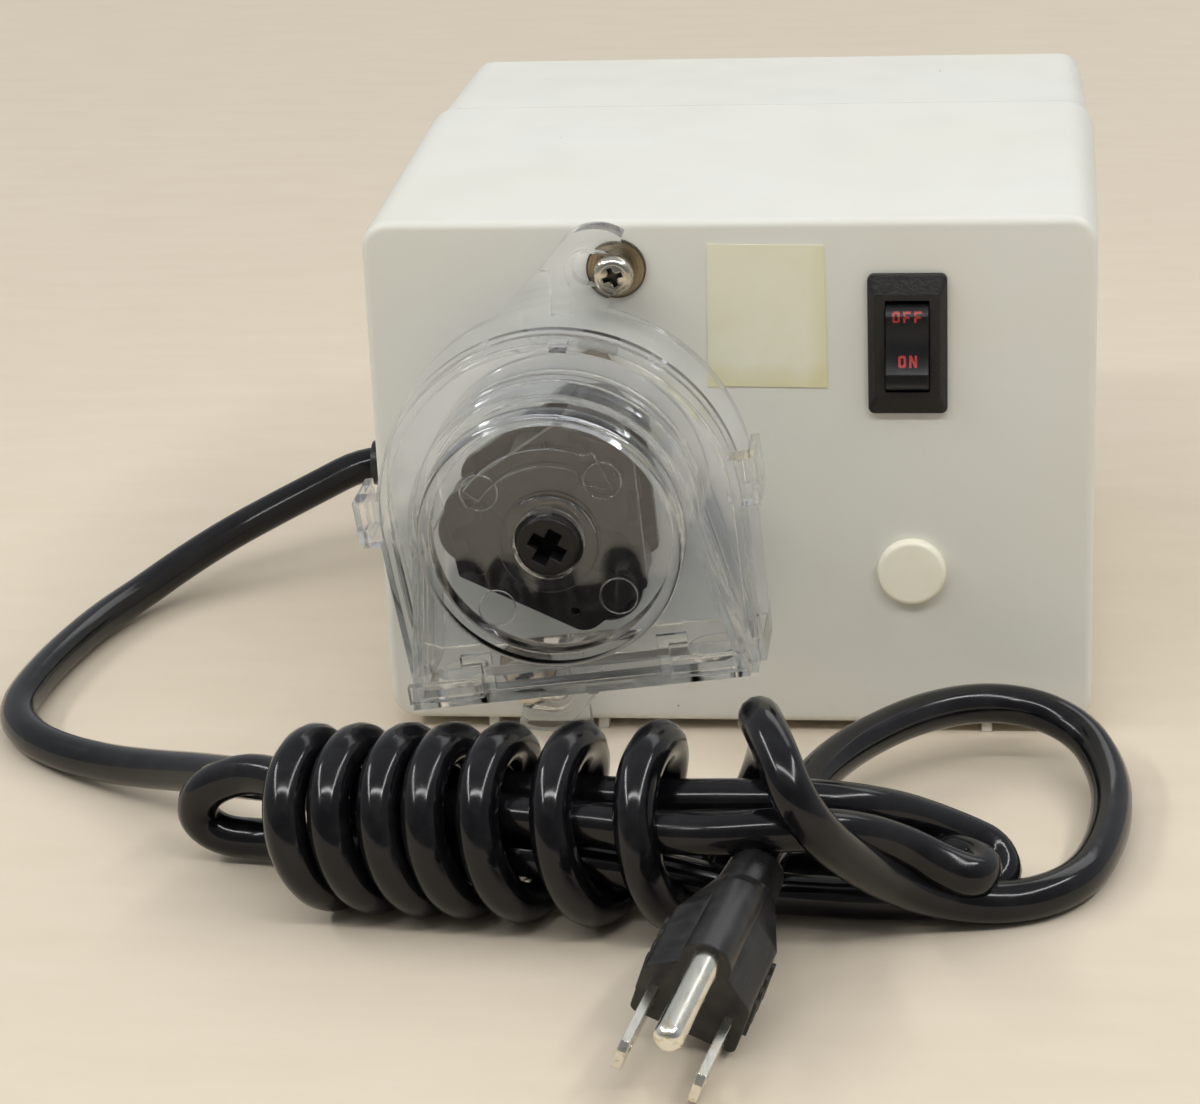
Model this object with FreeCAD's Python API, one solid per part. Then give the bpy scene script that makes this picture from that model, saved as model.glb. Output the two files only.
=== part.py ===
"""A peristaltic dosing pump: a plastic case with a gearmotor, a switch and a mains cord, and a clear
pump head that locks on the front with two hook-shaped lugs.

Millimetres. +X is right as seen from the front, +Y runs from the front to the back, +Z is up. The
origin is on the table under the middle of the pump, without its cord.
"""
import FreeCAD
import Part
import math
import os

from FreeCAD import Placement, Rotation, Vector

# Case: two drafted shells that meet at a seam behind the middle
CASE_WIDTH = 134.9
CASE_HEIGHT = 99.9
FRONT_DEPTH = 84.1
REAR_DEPTH = 52.9
CASE_WALL = 2.5
CASE_CORNER = 5.0
CASE_DRAFT = 1.0
CASE_EDGE = 1.5
SEAM_STEP = 0.8
LIP_LENGTH = 3.0
LIP_WALL = 1.3
LIP_GAP = 0.15
FOOT_HEIGHT = 2.3
FOOT_WIDTH = 2.0
FOOT_LENGTH = 8.0
FOOT_PLACES = (-47.8, -26.2, 26.2, 47.8)
BOSS_RADIUS = 4.2
BOSS_INSET = 8.6
BOSS_SEAT = 6.0
CASE_SCREW_RADIUS = 1.5
CASE_SCREW_HEAD = 3.0
CASE_SCREW_LENGTH = 18.0
SCREW_GAP = 0.2
FIT_GAP = 0.05

# Pump head: its axis from the front's left side and from the table, and its turn from the locked place
AXIS_INSET = 37.65
AXIS_Z = 52.6
HEAD_DEPTH = 37.0
HEAD_TURN = 6.9
LOCK_ANGLE = 76.4
LOCK_RADIUS = 42.0
PLATE_GAP = 1.05
PLATE_THICK = 3.0
HEAD_RADIUS = 34.5
BASE_HALF = 33.2
BASE_DROP = 34.5
FLOOR_DROP = 29.8
RACE_RADIUS = 24.6
RACE_WALL = 1.8
KNEE_DROP = 2.0
LEG_FLARE = 10.0
SPLIT_DEPTH = 16.5
SPLIT_GAP = 0.1
FLANGE_THICK = 1.8
PAD_RADIUS = 12.0
COVER_INSET = 1.0
COVER_PLATE = 22.9
DOME_DEPTH = 30.0
COVER_WALL = 1.7
DISC_RADIUS = 24.1
DISC_WALL = 2.2
DISC_DEPTH = 35.0
DISC_EDGE = 1.0
COLLAR_RADIUS = 9.0
COLLAR_BORE = 6.4
COLLAR_HEIGHT = 1.1
KEY_WIDTH = 3.0
KEY_DEPTH = 0.6
RIM_NOTCH = 3.2
RIM_NOTCH_ANGLE = 80.5
WINDOW_HALF = 15.5
BAR_LENGTH = 14.0
BAR_HEIGHT = 3.4
BAR_THICK = 1.6
HOOK_SLOT = 2.0
PANE_STEP = 0.6
PORT_PLACE = 24.0
PORT_RADIUS = 4.9
HOOK_RADIUS = 49.7
HOOK_BACK = 45.2
HOOK_BACK_TURN = 7.8
HOOK_CROWN_TURN = 1.7
HOOK_FOOT_TURN = 31.7
HOOK_RIM = 2.2
HOOK_STEM = 3.6
HOOK_STEM_TURN = 6.6
HOOK_CLEAR = 0.4
SLOT_GAP = 0.3
LUG_TIP_TURN = 7.0
TAB_LEFT = 16.4
TAB_RIGHT = 4.0
TAB_RISE = 44.4
TAB_DROP = 51.2
TAB_SLANT = 2.2
LATCH_RISE = 3.0
LATCH_HEIGHT = 9.0
LATCH_NOSE = 1.0
LATCH_GAP = 0.25
LATCH_WALL = 1.5

# Head screws, each on a washer and a sleeve
WASHER_RADIUS = 5.5
WASHER_THICK = 1.0
SLEEVE_RADIUS = 2.75
SLEEVE_PLAY = 0.15
HEAD_SCREW_RADIUS = 1.9
HEAD_SCREW_HEAD = 3.7
HEAD_SCREW_RISE = 2.5
HEAD_SCREW_LENGTH = 9.0
HEAD_SCREW_TURN = 20.0
HEAD_SCREW_SLOT = 1.0

# Rotor
ROLLER_ANGLE = 66.0
ROLLER_PLACE = 15.4
ROLLER_RADIUS = 6.4
ROLLER_END_GAP = 0.25
AXLE_RADIUS = 1.5
AXLE_SEAT = 1.6
LOBE_SPREAD = 21.0
LOBE_TOE = 20.9
TOE_ROUND = 4.0
LOBE_HEEL = 19.9
HEEL_ROUND = 0.8
GUIDE_PLACE = 11.0
GUIDE_POST = 3.2
DOWEL_PLACE = 16.2
DOWEL_SPREAD = 24.5
DOWEL_RADIUS = 0.9
DOWEL_DEPTH = 1.2
ROTOR_BACK = 5.6
ROTOR_PLATE = 2.4
ROTOR_FRONT = 27.8
HUB_RADIUS = 8.0
NOSE_RADIUS = 5.55
CROSS_LENGTH = 6.8
CROSS_WIDTH = 2.7
CROSS_DEPTH = 4.0
SHAFT_RADIUS = 4.0
SHAFT_FLAT = 3.2
SHAFT_FRONT = 26.0
BUSHING_RADIUS = 6.8
BUSHING_FLANGE = 8.6
BUSHING_RISE = 2.6

# Rocker switch
SWITCH_X = 33.2
SWITCH_Z = 78.8
BEZEL_WIDTH = 14.5
BEZEL_HEIGHT = 26.5
BEZEL_THICK = 2.6
BEZEL_RIM = 1.2
BEZEL_SIDE = 1.3
BEZEL_SLOPE = 3.4
BEZEL_CORNER = 1.2
SWITCH_WIDTH = 12.6
SWITCH_HEIGHT = 22.6
SWITCH_DEPTH = 19.0
ROCKER_WIDTH = 7.8
ROCKER_RADIUS = 8.6
ROCKER_GAP = 0.12
ROCKER_THROW = 22.0
ROCKER_CREST = (5.3, 4.4)
ROCKER_SHOULDER = (7.5, 2.9)
ROCKER_DISH = 1.2
ROCKER_PIVOT = 0.5
ROCKER_DROP = 3.0
PIVOT_RADIUS = 1.1
PIVOT_LENGTH = 1.0
TERMINAL_WIDTH = 4.8
TERMINAL_THICK = 0.8
TERMINAL_LENGTH = 8.0
TERMINAL_PITCH = 7.0

# Hole plug and label on the front
PLUG_CAP_X = 33.7
PLUG_CAP_Z = 34.0
PLUG_CAP_RADIUS = 6.4
PLUG_CAP_THICK = 2.0
PLUG_CAP_EDGE = 0.9
PLUG_STEM_RADIUS = 4.7
PLUG_STEM_WALL = 1.0
PLUG_STEM_LENGTH = 6.0
LABEL_CORNERS = ((-3.7, 70.6), (18.4, 70.2), (18.2, 97.4), (-3.2, 97.8))
LABEL_THICK = 0.2

# Gearmotor behind the front wall
GEARBOX_WIDTH = 60.0
GEARBOX_DEPTH = 26.0
GEARBOX_WALL = 3.0
GEARBOX_CORNER = 8.0
MOUNT_PLATE = 2.0
MOUNT_END = 5.4
GEAR_SCREW_INSET = 7.0
GEAR_SCREW_RADIUS = 1.5
GEAR_SCREW_HEAD = 2.8
GEAR_SCREW_LENGTH = 14.0
BEARING_WALL = 3.0
BEARING_RISE = 4.0
BEARING_FLOOR = 1.5
GEAR_BOSS = 4.5
GEAR_RADIUS = 19.0
GEAR_TEETH = 36
TOOTH_HEIGHT = 1.4
TOOTH_WIDTH = 1.7
GEAR_THICK = 6.0
GEAR_HUB = 7.5
GEAR_HUB_LENGTH = 11.0
STATOR_WIDTH = 54.0
STATOR_BELOW = 18.0
STATOR_ABOVE = 34.0
STATOR_CORE = 9.0
STATOR_BRIDGE = 3.5
STATOR_DEPTH = 20.0
STATOR_GAP = 9.0
STATOR_BORE = 12.0
STATOR_LIMB = 11.0
COIL_RADIUS = 12.0
COIL_LENGTH = 24.0
COIL_GAP = 0.1
MOTOR_ROTOR_RADIUS = 11.4
MOTOR_SHAFT_RADIUS = 2.0
BRACKET_THICK = 2.5
BRACKET_WIDTH = 12.0
BRACKET_STAND = 5.0
BRACKET_POST = 3.4
BRACKET_BOSS = 4.2
MOTOR_SCREW_RADIUS = 1.6
MOTOR_SCREW_PITCH = 38.0
MOTOR_SCREW_HEAD = 3.0
MOTOR_DROP = 9.0

# Mains cord, its strain relief and its plug
CORD_RADIUS = 3.7
RELIEF_BEHIND = 11.9
RELIEF_HEIGHT = 21.0
RELIEF_LENGTH = 20.0
RELIEF_RADIUS = 6.4
RELIEF_END_RADIUS = 4.9
RELIEF_FLANGE = 8.0
RELIEF_FLANGE_THICK = 2.0
RELIEF_NECK = 5.6
RELIEF_INSIDE = 8.0
RELIEF_NUT = 7.0
RELIEF_NUT_THICK = 2.6
PLUG_TIP = (-1.7, -187.8, 5.25)
PLUG_PINS = (-0.234, -0.955, -0.184)
PLUG_UP = (0.298, -0.250, 0.921)
PLUG_BODY = 25.0
PLUG_WIDTH = 18.0
PLUG_LOW = 4.0
PLUG_SHOULDER = 5.6
PLUG_SLOPE = 4.4
PLUG_SLOPE_TOP = 9.8
PLUG_CORNER = 1.2
PLUG_WAIST = 15.5
PLUG_RIDGE = 8.4
PLUG_RIDGE_TOP = 15.3
PLUG_RIDGE_LENGTH = 18.0
PLUG_RIDGE_DROP = 6.0
PLUG_MIDDLE = 3.8
PLUG_TAIL_RADIUS = 5.4
PLUG_TAIL_LENGTH = 8.0
PLUG_RIBS = 4
PLUG_RIB_START = -3.5
PLUG_RIB_PITCH = 3.0
PLUG_RIB_WIDTH = 1.3
PLUG_RIB_HEIGHT = 0.5
BLADE_PITCH = 12.7
BLADE_LENGTH = 15.2
BLADE_WIDTH = 6.3
BLADE_THICK = 1.5
BLADE_TIP = 1.3
GROUND_PIN_RADIUS = 2.4
GROUND_PIN_RISE = 11.9
GROUND_PIN_LENGTH = 20.0
LEAD_ROUTE = (
    (-88.9, 46.0, 21.0), (-99.5, 40.0, 17.5), (-109.0, 34.0, 14.0), (-118.0, 28.0, 10.5),
    (-126.0, 18.5, 7.5), (-132.5, 8.0, 5.0), (-138.5, -6.0, 4.0), (-142.0, -23.5, 3.8),
    (-143.5, -40.0, 3.8), (-143.0, -52.5, 3.8), (-137.5, -63.0, 3.8), (-128.5, -71.5, 4.2),
    (-116.5, -79.5, 5.5), (-104.5, -88.0, 8.5), (-93.0, -97.5, 12.5), (-81.0, -109.5, 17.0),
)
LOOP_ROUTE = (
    (9.5, -119.0, 35.0), (10.2, -130.5, 40.5), (14.5, -144.5, 38.5), (19.5, -147.5, 29.5),
    (26.7, -140.5, 18.5), (37.0, -131.0, 8.0), (53.5, -125.5, 3.9), (65.0, -115.6, 3.8),
    (70.0, -98.0, 4.0), (70.0, -80.5, 5.2), (63.0, -64.5, 9.5), (48.5, -63.5, 13.0),
    (35.8, -72.0, 14.4), (23.0, -88.0, 14.4), (15.4, -108.0, 13.8), (12.2, -129.0, 16.0),
)
HANK_STATIONS = (
    (-97.0, -121.0, 8.0, 9.0, 5.0), (-84.0, -122.0, 14.0, 15.0, 14.0),
    (-72.0, -124.0, 17.6, 17.6, 17.6), (-20.0, -128.0, 18.4, 18.4, 18.4),
    (-7.0, -128.6, 18.5, 18.5, 18.5), (5.0, -126.5, 16.0, 14.5, 16.0), (15.0, -126.5, 14.0, 12.5, 14.0),
    (36.0, -122.0, 9.0, 18.0, 9.0), (52.0, -121.0, 7.0, 13.0, 6.5),
)

# Places that follow from the sizes above
CASE_DEPTH = FRONT_DEPTH + REAR_DEPTH
FACE_Y = (HEAD_DEPTH - CASE_DEPTH) / 2
CASE_MID = FOOT_HEIGHT + CASE_HEIGHT / 2
AXIS_X = AXIS_INSET - CASE_WIDTH / 2
RELIEF_DEPTH = FRONT_DEPTH + RELIEF_BEHIND
FRONT_GROWTH = FRONT_DEPTH * math.tan(math.radians(CASE_DRAFT))
REAR_GROWTH = REAR_DEPTH * math.tan(math.radians(CASE_DRAFT))
PLATE_FRONT = PLATE_GAP + PLATE_THICK
COVER_BACK = SPLIT_DEPTH + SPLIT_GAP
SLEEVE_TOP = PLATE_FRONT + SLEEVE_PLAY
ARM_INSIDE = HEAD_RADIUS + LATCH_NOSE + LATCH_GAP
AXLE_BACK = ROTOR_BACK + ROTOR_PLATE
AXLE_FRONT = ROTOR_FRONT - ROTOR_PLATE

os.makedirs("parts", exist_ok=True)


def save(name, *solids):
    """Write one sub-part."""
    shape = solids[0] if len(solids) == 1 else Part.makeCompound(list(solids))
    shape.exportStep("parts/" + name + ".step")


def on_front(shape, x=0.0, z=0.0, turn=0.0):
    """Place a shape drawn with +X right, +Y up and +Z out of the case's front face."""
    placed = shape.copy()
    facing = Rotation(Vector(1, 0, 0), 90).multiply(Rotation(Vector(0, 0, 1), turn))
    placed.Placement = Placement(Vector(x, FACE_Y, z), facing).multiply(shape.Placement)
    return placed


def on_axis(shape, turn=0.0):
    """Place a shape drawn about the pump's axis."""
    return on_front(shape, AXIS_X, AXIS_Z, turn)


def block(x0, x1, y0, y1, z0, z1):
    return Part.makeBox(x1 - x0, y1 - y0, z1 - z0, Vector(x0, y0, z0))


def disc(radius, z0, z1, x=0.0, y=0.0):
    return Part.makeCylinder(radius, z1 - z0, Vector(x, y, z0))


def ring(outer, inner, z0, z1, x=0.0, y=0.0):
    return disc(outer, z0, z1, x, y).cut(disc(inner, z0 - 1, z1 + 1, x, y))


def at_angle(radius, degrees, z=0.0):
    angle = math.radians(degrees)
    return Vector(radius * math.cos(angle), radius * math.sin(angle), z)


def loop(points):
    """A closed wire of straight edges."""
    corners = [Vector(*point) for point in points]
    return Part.makePolygon(corners + corners[:1])


def prism(wire, z0, z1):
    """Extrude a flat closed wire from one height to another."""
    base = Part.Face(wire)
    base.translate(Vector(0, 0, z0))
    return base.extrude(Vector(0, 0, z1 - z0))


def fuse(first, *others):
    return first.multiFuse(list(others)).removeSplitter()


def cut(first, *others):
    for other in others:
        first = first.cut(other)
    return first


def round_edges(shape, radius, keep):
    """Fillet the edges that a test picks."""
    return shape.makeFillet(radius, [edge for edge in shape.Edges if keep(edge)])


def lies_at(z):
    """A test for edges that lie flat at one height."""
    def flat(edge):
        box = edge.BoundBox
        return abs(box.ZMin - z) < 0.01 and abs(box.ZMax - z) < 0.01
    return flat


def upright(edge):
    """A test for straight edges along Z."""
    box = edge.BoundBox
    return box.ZLength > 0.1 and box.XLength < 0.01 and box.YLength < 0.01


def rounded(width, height, corner, z, y=0.0):
    """A rectangle with round corners, centred on the Z axis or above it."""
    half, tall, reach = width / 2, height / 2, corner * (1 - math.sqrt(0.5))
    edges = []
    places = ((1, 1), (-1, 1), (-1, -1), (1, -1))
    for index, (sx, sy) in enumerate(places):
        outer = Vector(sx * half, y + sy * (tall - corner), z)
        inner = Vector(sx * (half - corner), y + sy * tall, z)
        middle = Vector(sx * (half - reach), y + sy * (tall - reach), z)
        start, end = (outer, inner) if sx == sy else (inner, outer)
        edges.append(Part.Arc(start, middle, end).toShape())
        nx, ny = places[(index + 1) % 4]
        if nx == sx:
            after = Vector(nx * half, y + ny * (tall - corner), z)
        else:
            after = Vector(nx * (half - corner), y + ny * tall, z)
        edges.append(Part.LineSegment(end, after).toShape())
    return Part.Wire(edges)


def taper(width, height, corner, z0, z1, growth):
    """A block with round corners that grows by the same amount on each side between two heights."""
    wide = rounded(width + 2 * growth, height + 2 * growth, corner + growth, z1, CASE_MID)
    return Part.makeLoft([rounded(width, height, corner, z0, CASE_MID), wide], True, True)


def case_screws():
    """The middles of the four screws that join the shells."""
    reach_x = CASE_WIDTH / 2 - BOSS_INSET
    reach_y = CASE_HEIGHT / 2 - BOSS_INSET
    return [(sx * reach_x, CASE_MID + sy * reach_y) for sx in (-1, 1) for sy in (-1, 1)]


def head_screws():
    """The places of the two head screws, seen from the front."""
    return [at_angle(LOCK_RADIUS, LOCK_ANGLE + turn) for turn in (0, 180)]


def feet(z0, z1):
    """Short ribs under the case that reach the table."""
    half = FOOT_WIDTH / 2
    return [block(x - half, x + half, 0, FOOT_HEIGHT + CASE_WALL / 2, z0, z1) for x in FOOT_PLACES]


# Front shell: one drafted moulding with its front face, the screw bosses and the cut-outs
def front_shell():
    shell = taper(CASE_WIDTH, CASE_HEIGHT, CASE_CORNER, 0, -FRONT_DEPTH, FRONT_GROWTH)
    shell = round_edges(shell, CASE_EDGE, lies_at(0))
    inner_growth = FRONT_GROWTH * (FRONT_DEPTH - CASE_WALL) / FRONT_DEPTH
    width, height = CASE_WIDTH - 2 * CASE_WALL, CASE_HEIGHT - 2 * CASE_WALL
    hollow = taper(width, height, CASE_CORNER - CASE_WALL, -CASE_WALL, -FRONT_DEPTH, inner_growth)
    bosses = []
    pilots = []
    for x, y in case_screws():
        bosses.append(disc(BOSS_RADIUS, -FRONT_DEPTH, -CASE_WALL, x, y))
        pilots.append(disc(CASE_SCREW_RADIUS + FIT_GAP, -FRONT_DEPTH - 1, -FRONT_DEPTH + 20, x, y))
    shell = fuse(shell.cut(hollow), *bosses, *feet(-FOOT_LENGTH - CASE_EDGE, -CASE_EDGE))
    shell = cut(shell, *pilots)
    half_x, half_y = SWITCH_WIDTH / 2 + SCREW_GAP, SWITCH_HEIGHT / 2 + SCREW_GAP
    holes = [
        block(SWITCH_X - half_x, SWITCH_X + half_x, SWITCH_Z - half_y, SWITCH_Z + half_y, -9, 9),
        disc(PLUG_STEM_RADIUS + FIT_GAP, -9, 9, PLUG_CAP_X, PLUG_CAP_Z),
        disc(BUSHING_RADIUS + FIT_GAP, -9, 9, AXIS_X, AXIS_Z),
    ]
    for place in head_screws():
        holes.append(disc(HEAD_SCREW_RADIUS + SCREW_GAP, -9, 9, AXIS_X + place.x, AXIS_Z + place.y))
    return on_front(cut(shell, *holes))


# Rear shell: a shallower moulding whose lip enters the front shell
def rear_shell():
    seam_w = CASE_WIDTH + 2 * FRONT_GROWTH - 2 * SEAM_STEP
    seam_h = CASE_HEIGHT + 2 * FRONT_GROWTH - 2 * SEAM_STEP
    corner = CASE_CORNER + FRONT_GROWTH - SEAM_STEP
    shell = taper(seam_w, seam_h, corner, -FRONT_DEPTH, -CASE_DEPTH, -REAR_GROWTH)
    shell = round_edges(shell, CASE_EDGE, lies_at(-CASE_DEPTH))
    walls = 2 * CASE_WALL
    hollow = taper(seam_w - walls, seam_h - walls, corner - CASE_WALL,
                   -FRONT_DEPTH, -CASE_DEPTH + CASE_WALL, -REAR_GROWTH)
    lip_w = CASE_WIDTH + 2 * FRONT_GROWTH - 2 * CASE_WALL - 2 * LIP_GAP
    lip_h = CASE_HEIGHT + 2 * FRONT_GROWTH - 2 * CASE_WALL - 2 * LIP_GAP
    lip_corner = CASE_CORNER + FRONT_GROWTH - CASE_WALL
    lip_growth = -LIP_LENGTH * math.tan(math.radians(CASE_DRAFT))
    lip = taper(lip_w, lip_h, lip_corner, -FRONT_DEPTH - CASE_WALL, -FRONT_DEPTH + LIP_LENGTH,
                lip_growth)
    lip = lip.cut(taper(lip_w - 2 * LIP_WALL, lip_h - 2 * LIP_WALL, lip_corner - LIP_WALL,
                        -FRONT_DEPTH - CASE_WALL - 1, -FRONT_DEPTH + LIP_LENGTH + 1, lip_growth))
    bosses = []
    holes = []
    reliefs = []
    for x, y in case_screws():
        bosses.append(disc(BOSS_RADIUS, -CASE_DEPTH + 1, -FRONT_DEPTH, x, y))
        holes.append(disc(CASE_SCREW_RADIUS + SCREW_GAP, -CASE_DEPTH - 1, -FRONT_DEPTH + 1, x, y))
        holes.append(disc(CASE_SCREW_HEAD + SCREW_GAP, -CASE_DEPTH - 1, -FRONT_DEPTH - BOSS_SEAT, x, y))
        reliefs.append(disc(BOSS_RADIUS + LIP_GAP, -FRONT_DEPTH, -FRONT_DEPTH + 9, x, y))
    foot_end = -CASE_DEPTH + CASE_EDGE
    shell = fuse(shell.cut(hollow), lip, *bosses, *feet(foot_end, foot_end + FOOT_LENGTH))
    shell = cut(shell, *holes, *reliefs)
    gland = Part.makeCylinder(RELIEF_NECK + FIT_GAP, 20, Vector(-CASE_WIDTH / 2 - 9, RELIEF_HEIGHT,
                              -RELIEF_DEPTH), Vector(1, 0, 0))
    return on_front(shell.cut(gland))


def case_screw(x, y):
    """A pan-head screw driven from the back."""
    seat = -FRONT_DEPTH - BOSS_SEAT
    shank = disc(CASE_SCREW_RADIUS, seat, seat + CASE_SCREW_LENGTH, x, y)
    head = disc(CASE_SCREW_HEAD, seat - 2.2, seat, x, y)
    head = round_edges(head, 0.8, lies_at(seat - 2.2))
    cross = fuse(block(x - 1.6, x + 1.6, y - 0.4, y + 0.4, seat - 3, seat - 1),
                 block(x - 0.4, x + 0.4, y - 1.6, y + 1.6, seat - 3, seat - 1))
    return on_front(fuse(shank, head).cut(cross))


save("front_shell", front_shell())
save("rear_shell", rear_shell())
save("case_screws", *[case_screw(x, y) for x, y in case_screws()])


# Hole plug: a domed button whose split stem snaps into a spare hole
def hole_plug():
    cap = round_edges(disc(PLUG_CAP_RADIUS, 0, PLUG_CAP_THICK), PLUG_CAP_EDGE, lies_at(PLUG_CAP_THICK))
    stem = ring(PLUG_STEM_RADIUS, PLUG_STEM_RADIUS - PLUG_STEM_WALL, -PLUG_STEM_LENGTH, 0)
    slit = block(-9, 9, -0.6, 0.6, -PLUG_STEM_LENGTH - 1, -CASE_WALL)
    other = slit.copy()
    other.rotate(Vector(0, 0, 0), Vector(0, 0, 1), 90)
    return on_front(cut(fuse(cap, stem), slit, other), PLUG_CAP_X, PLUG_CAP_Z)


save("hole_plug", hole_plug())
save("front_label", on_front(prism(loop([(x, z, 0) for x, z in LABEL_CORNERS]), 0, LABEL_THICK)))


# Rocker switch: bezel and well in one moulding, a rocker on two stub pivots, and two terminals
def switch_body():
    foot = rounded(BEZEL_WIDTH, BEZEL_HEIGHT, BEZEL_CORNER, BEZEL_RIM)
    top = rounded(BEZEL_WIDTH - 2 * BEZEL_SIDE, BEZEL_HEIGHT - 2 * BEZEL_SLOPE, BEZEL_CORNER / 2,
                  BEZEL_THICK)
    bezel = fuse(prism(rounded(BEZEL_WIDTH, BEZEL_HEIGHT, BEZEL_CORNER, 0), 0, BEZEL_RIM),
                 Part.makeLoft([foot, top], True, True))
    half_w, half_h = SWITCH_WIDTH / 2, SWITCH_HEIGHT / 2
    body = block(-half_w, half_w, -half_h, half_h, -SWITCH_DEPTH, 0)
    well_w, well_h = ROCKER_WIDTH / 2 + ROCKER_GAP, ROCKER_RADIUS + ROCKER_GAP
    well = block(-well_w, well_w, -well_h, well_h, -ROCKER_DROP - 6, BEZEL_THICK + 1)
    pivot = Part.makeCylinder(PIVOT_RADIUS + FIT_GAP, ROCKER_WIDTH + 2 * PIVOT_LENGTH + 0.4,
                              Vector(-well_w - PIVOT_LENGTH - 0.2, 0, ROCKER_PIVOT), Vector(1, 0, 0))
    slots = []
    for side in (-1, 1):
        middle = side * TERMINAL_PITCH
        slots.append(block(-TERMINAL_WIDTH / 2, TERMINAL_WIDTH / 2, middle - TERMINAL_THICK / 2,
                           middle + TERMINAL_THICK / 2, -SWITCH_DEPTH - 1, -SWITCH_DEPTH + 5))
    return cut(fuse(bezel, body), well, pivot, *slots)


def rocker():
    """A dished slice about its pivot, whose crests lean out of the bezel in turn."""
    crest, top = ROCKER_CREST
    shoulder, rise = ROCKER_SHOULDER
    foot = ROCKER_RADIUS - 0.3
    edges = [
        Part.Arc(Vector(0, crest, top), Vector(0, 0, top - ROCKER_DISH), Vector(0, -crest, top)),
        Part.Arc(Vector(0, -crest, top), Vector(0, -shoulder, rise), Vector(0, -ROCKER_RADIUS, 0)),
        Part.LineSegment(Vector(0, -ROCKER_RADIUS, 0), Vector(0, -foot, -ROCKER_DROP)),
        Part.LineSegment(Vector(0, -foot, -ROCKER_DROP), Vector(0, foot, -ROCKER_DROP)),
        Part.LineSegment(Vector(0, foot, -ROCKER_DROP), Vector(0, ROCKER_RADIUS, 0)),
        Part.Arc(Vector(0, ROCKER_RADIUS, 0), Vector(0, shoulder, rise), Vector(0, crest, top)),
    ]
    face = Part.Face(Part.Wire([edge.toShape() for edge in edges]))
    face.translate(Vector(-ROCKER_WIDTH / 2, 0, 0))
    body = face.extrude(Vector(ROCKER_WIDTH, 0, 0))
    reach = ROCKER_WIDTH / 2 + PIVOT_LENGTH
    pins = Part.makeCylinder(PIVOT_RADIUS, 2 * reach, Vector(-reach, 0, 0), Vector(1, 0, 0))
    body = fuse(body, pins)
    body.rotate(Vector(0, 0, 0), Vector(1, 0, 0), -ROCKER_THROW / 2)
    body.translate(Vector(0, 0, ROCKER_PIVOT))
    return body


def terminal(side):
    middle = side * TERMINAL_PITCH
    half = TERMINAL_WIDTH / 2
    blade = block(-half, half, middle - TERMINAL_THICK / 2, middle + TERMINAL_THICK / 2,
                  -SWITCH_DEPTH - TERMINAL_LENGTH, -SWITCH_DEPTH + 5)
    hole = Part.makeCylinder(0.8, 9, Vector(0, middle - 4, -SWITCH_DEPTH - 4), Vector(0, 1, 0))
    return blade.cut(hole)


save("switch_body", on_front(switch_body(), SWITCH_X, SWITCH_Z))
save("switch_rocker", on_front(rocker(), SWITCH_X, SWITCH_Z))
save("switch_terminals", *[on_front(terminal(side), SWITCH_X, SWITCH_Z) for side in (-1, 1)])


# Pump head housing: a back plate with two hook lugs, the lower half of the race and a front flange
def keyhole(grow, floor):
    """The outline of the rotor's chamber, an arch whose legs flare out to the tube ports."""
    radius = RACE_RADIUS + grow
    knee = math.sqrt(radius ** 2 - KNEE_DROP ** 2)
    foot = knee + (floor - KNEE_DROP) * math.tan(math.radians(LEG_FLARE))
    corners = [Vector(knee, -KNEE_DROP, 0), Vector(-knee, -KNEE_DROP, 0),
               Vector(-foot, -floor, 0), Vector(foot, -floor, 0)]
    edges = [Part.Arc(corners[0], Vector(0, radius, 0), corners[1]).toShape()]
    for start, end in ((1, 2), (2, 3), (3, 0)):
        edges.append(Part.LineSegment(corners[start], corners[end]).toShape())
    return Part.Wire(edges)


def outline(inset):
    """The outline of the whole head, an arch on a straight base."""
    radius, foot, base = HEAD_RADIUS - inset, BASE_HALF - inset, BASE_DROP - inset / 2
    corners = [Vector(radius, 0, 0), Vector(-radius, 0, 0), Vector(-foot, -base, 0),
               Vector(foot, -base, 0)]
    edges = [Part.Arc(corners[0], Vector(0, radius, 0), corners[1]).toShape()]
    for start, end in ((1, 2), (2, 3), (3, 0)):
        edges.append(Part.LineSegment(corners[start], corners[end]).toShape())
    return Part.Wire(edges)


def chamber_wall(z0, z1):
    """The wall round the rotor, which the squeezed tube rolls against."""
    outer = prism(keyhole(RACE_WALL, FLOOR_DROP + RACE_WALL), z0, z1)
    return outer.cut(prism(keyhole(0, FLOOR_DROP), z0 - 1, z1 + 1))


def ports():
    """The two round ways through the base for the tube's ends."""
    length = BASE_DROP - FLOOR_DROP + 6
    return [Part.makeCylinder(PORT_RADIUS, length, Vector(side * PORT_PLACE, -BASE_DROP - 3, SPLIT_DEPTH),
                              Vector(0, 1, 0)) for side in (-1, 1)]


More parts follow.
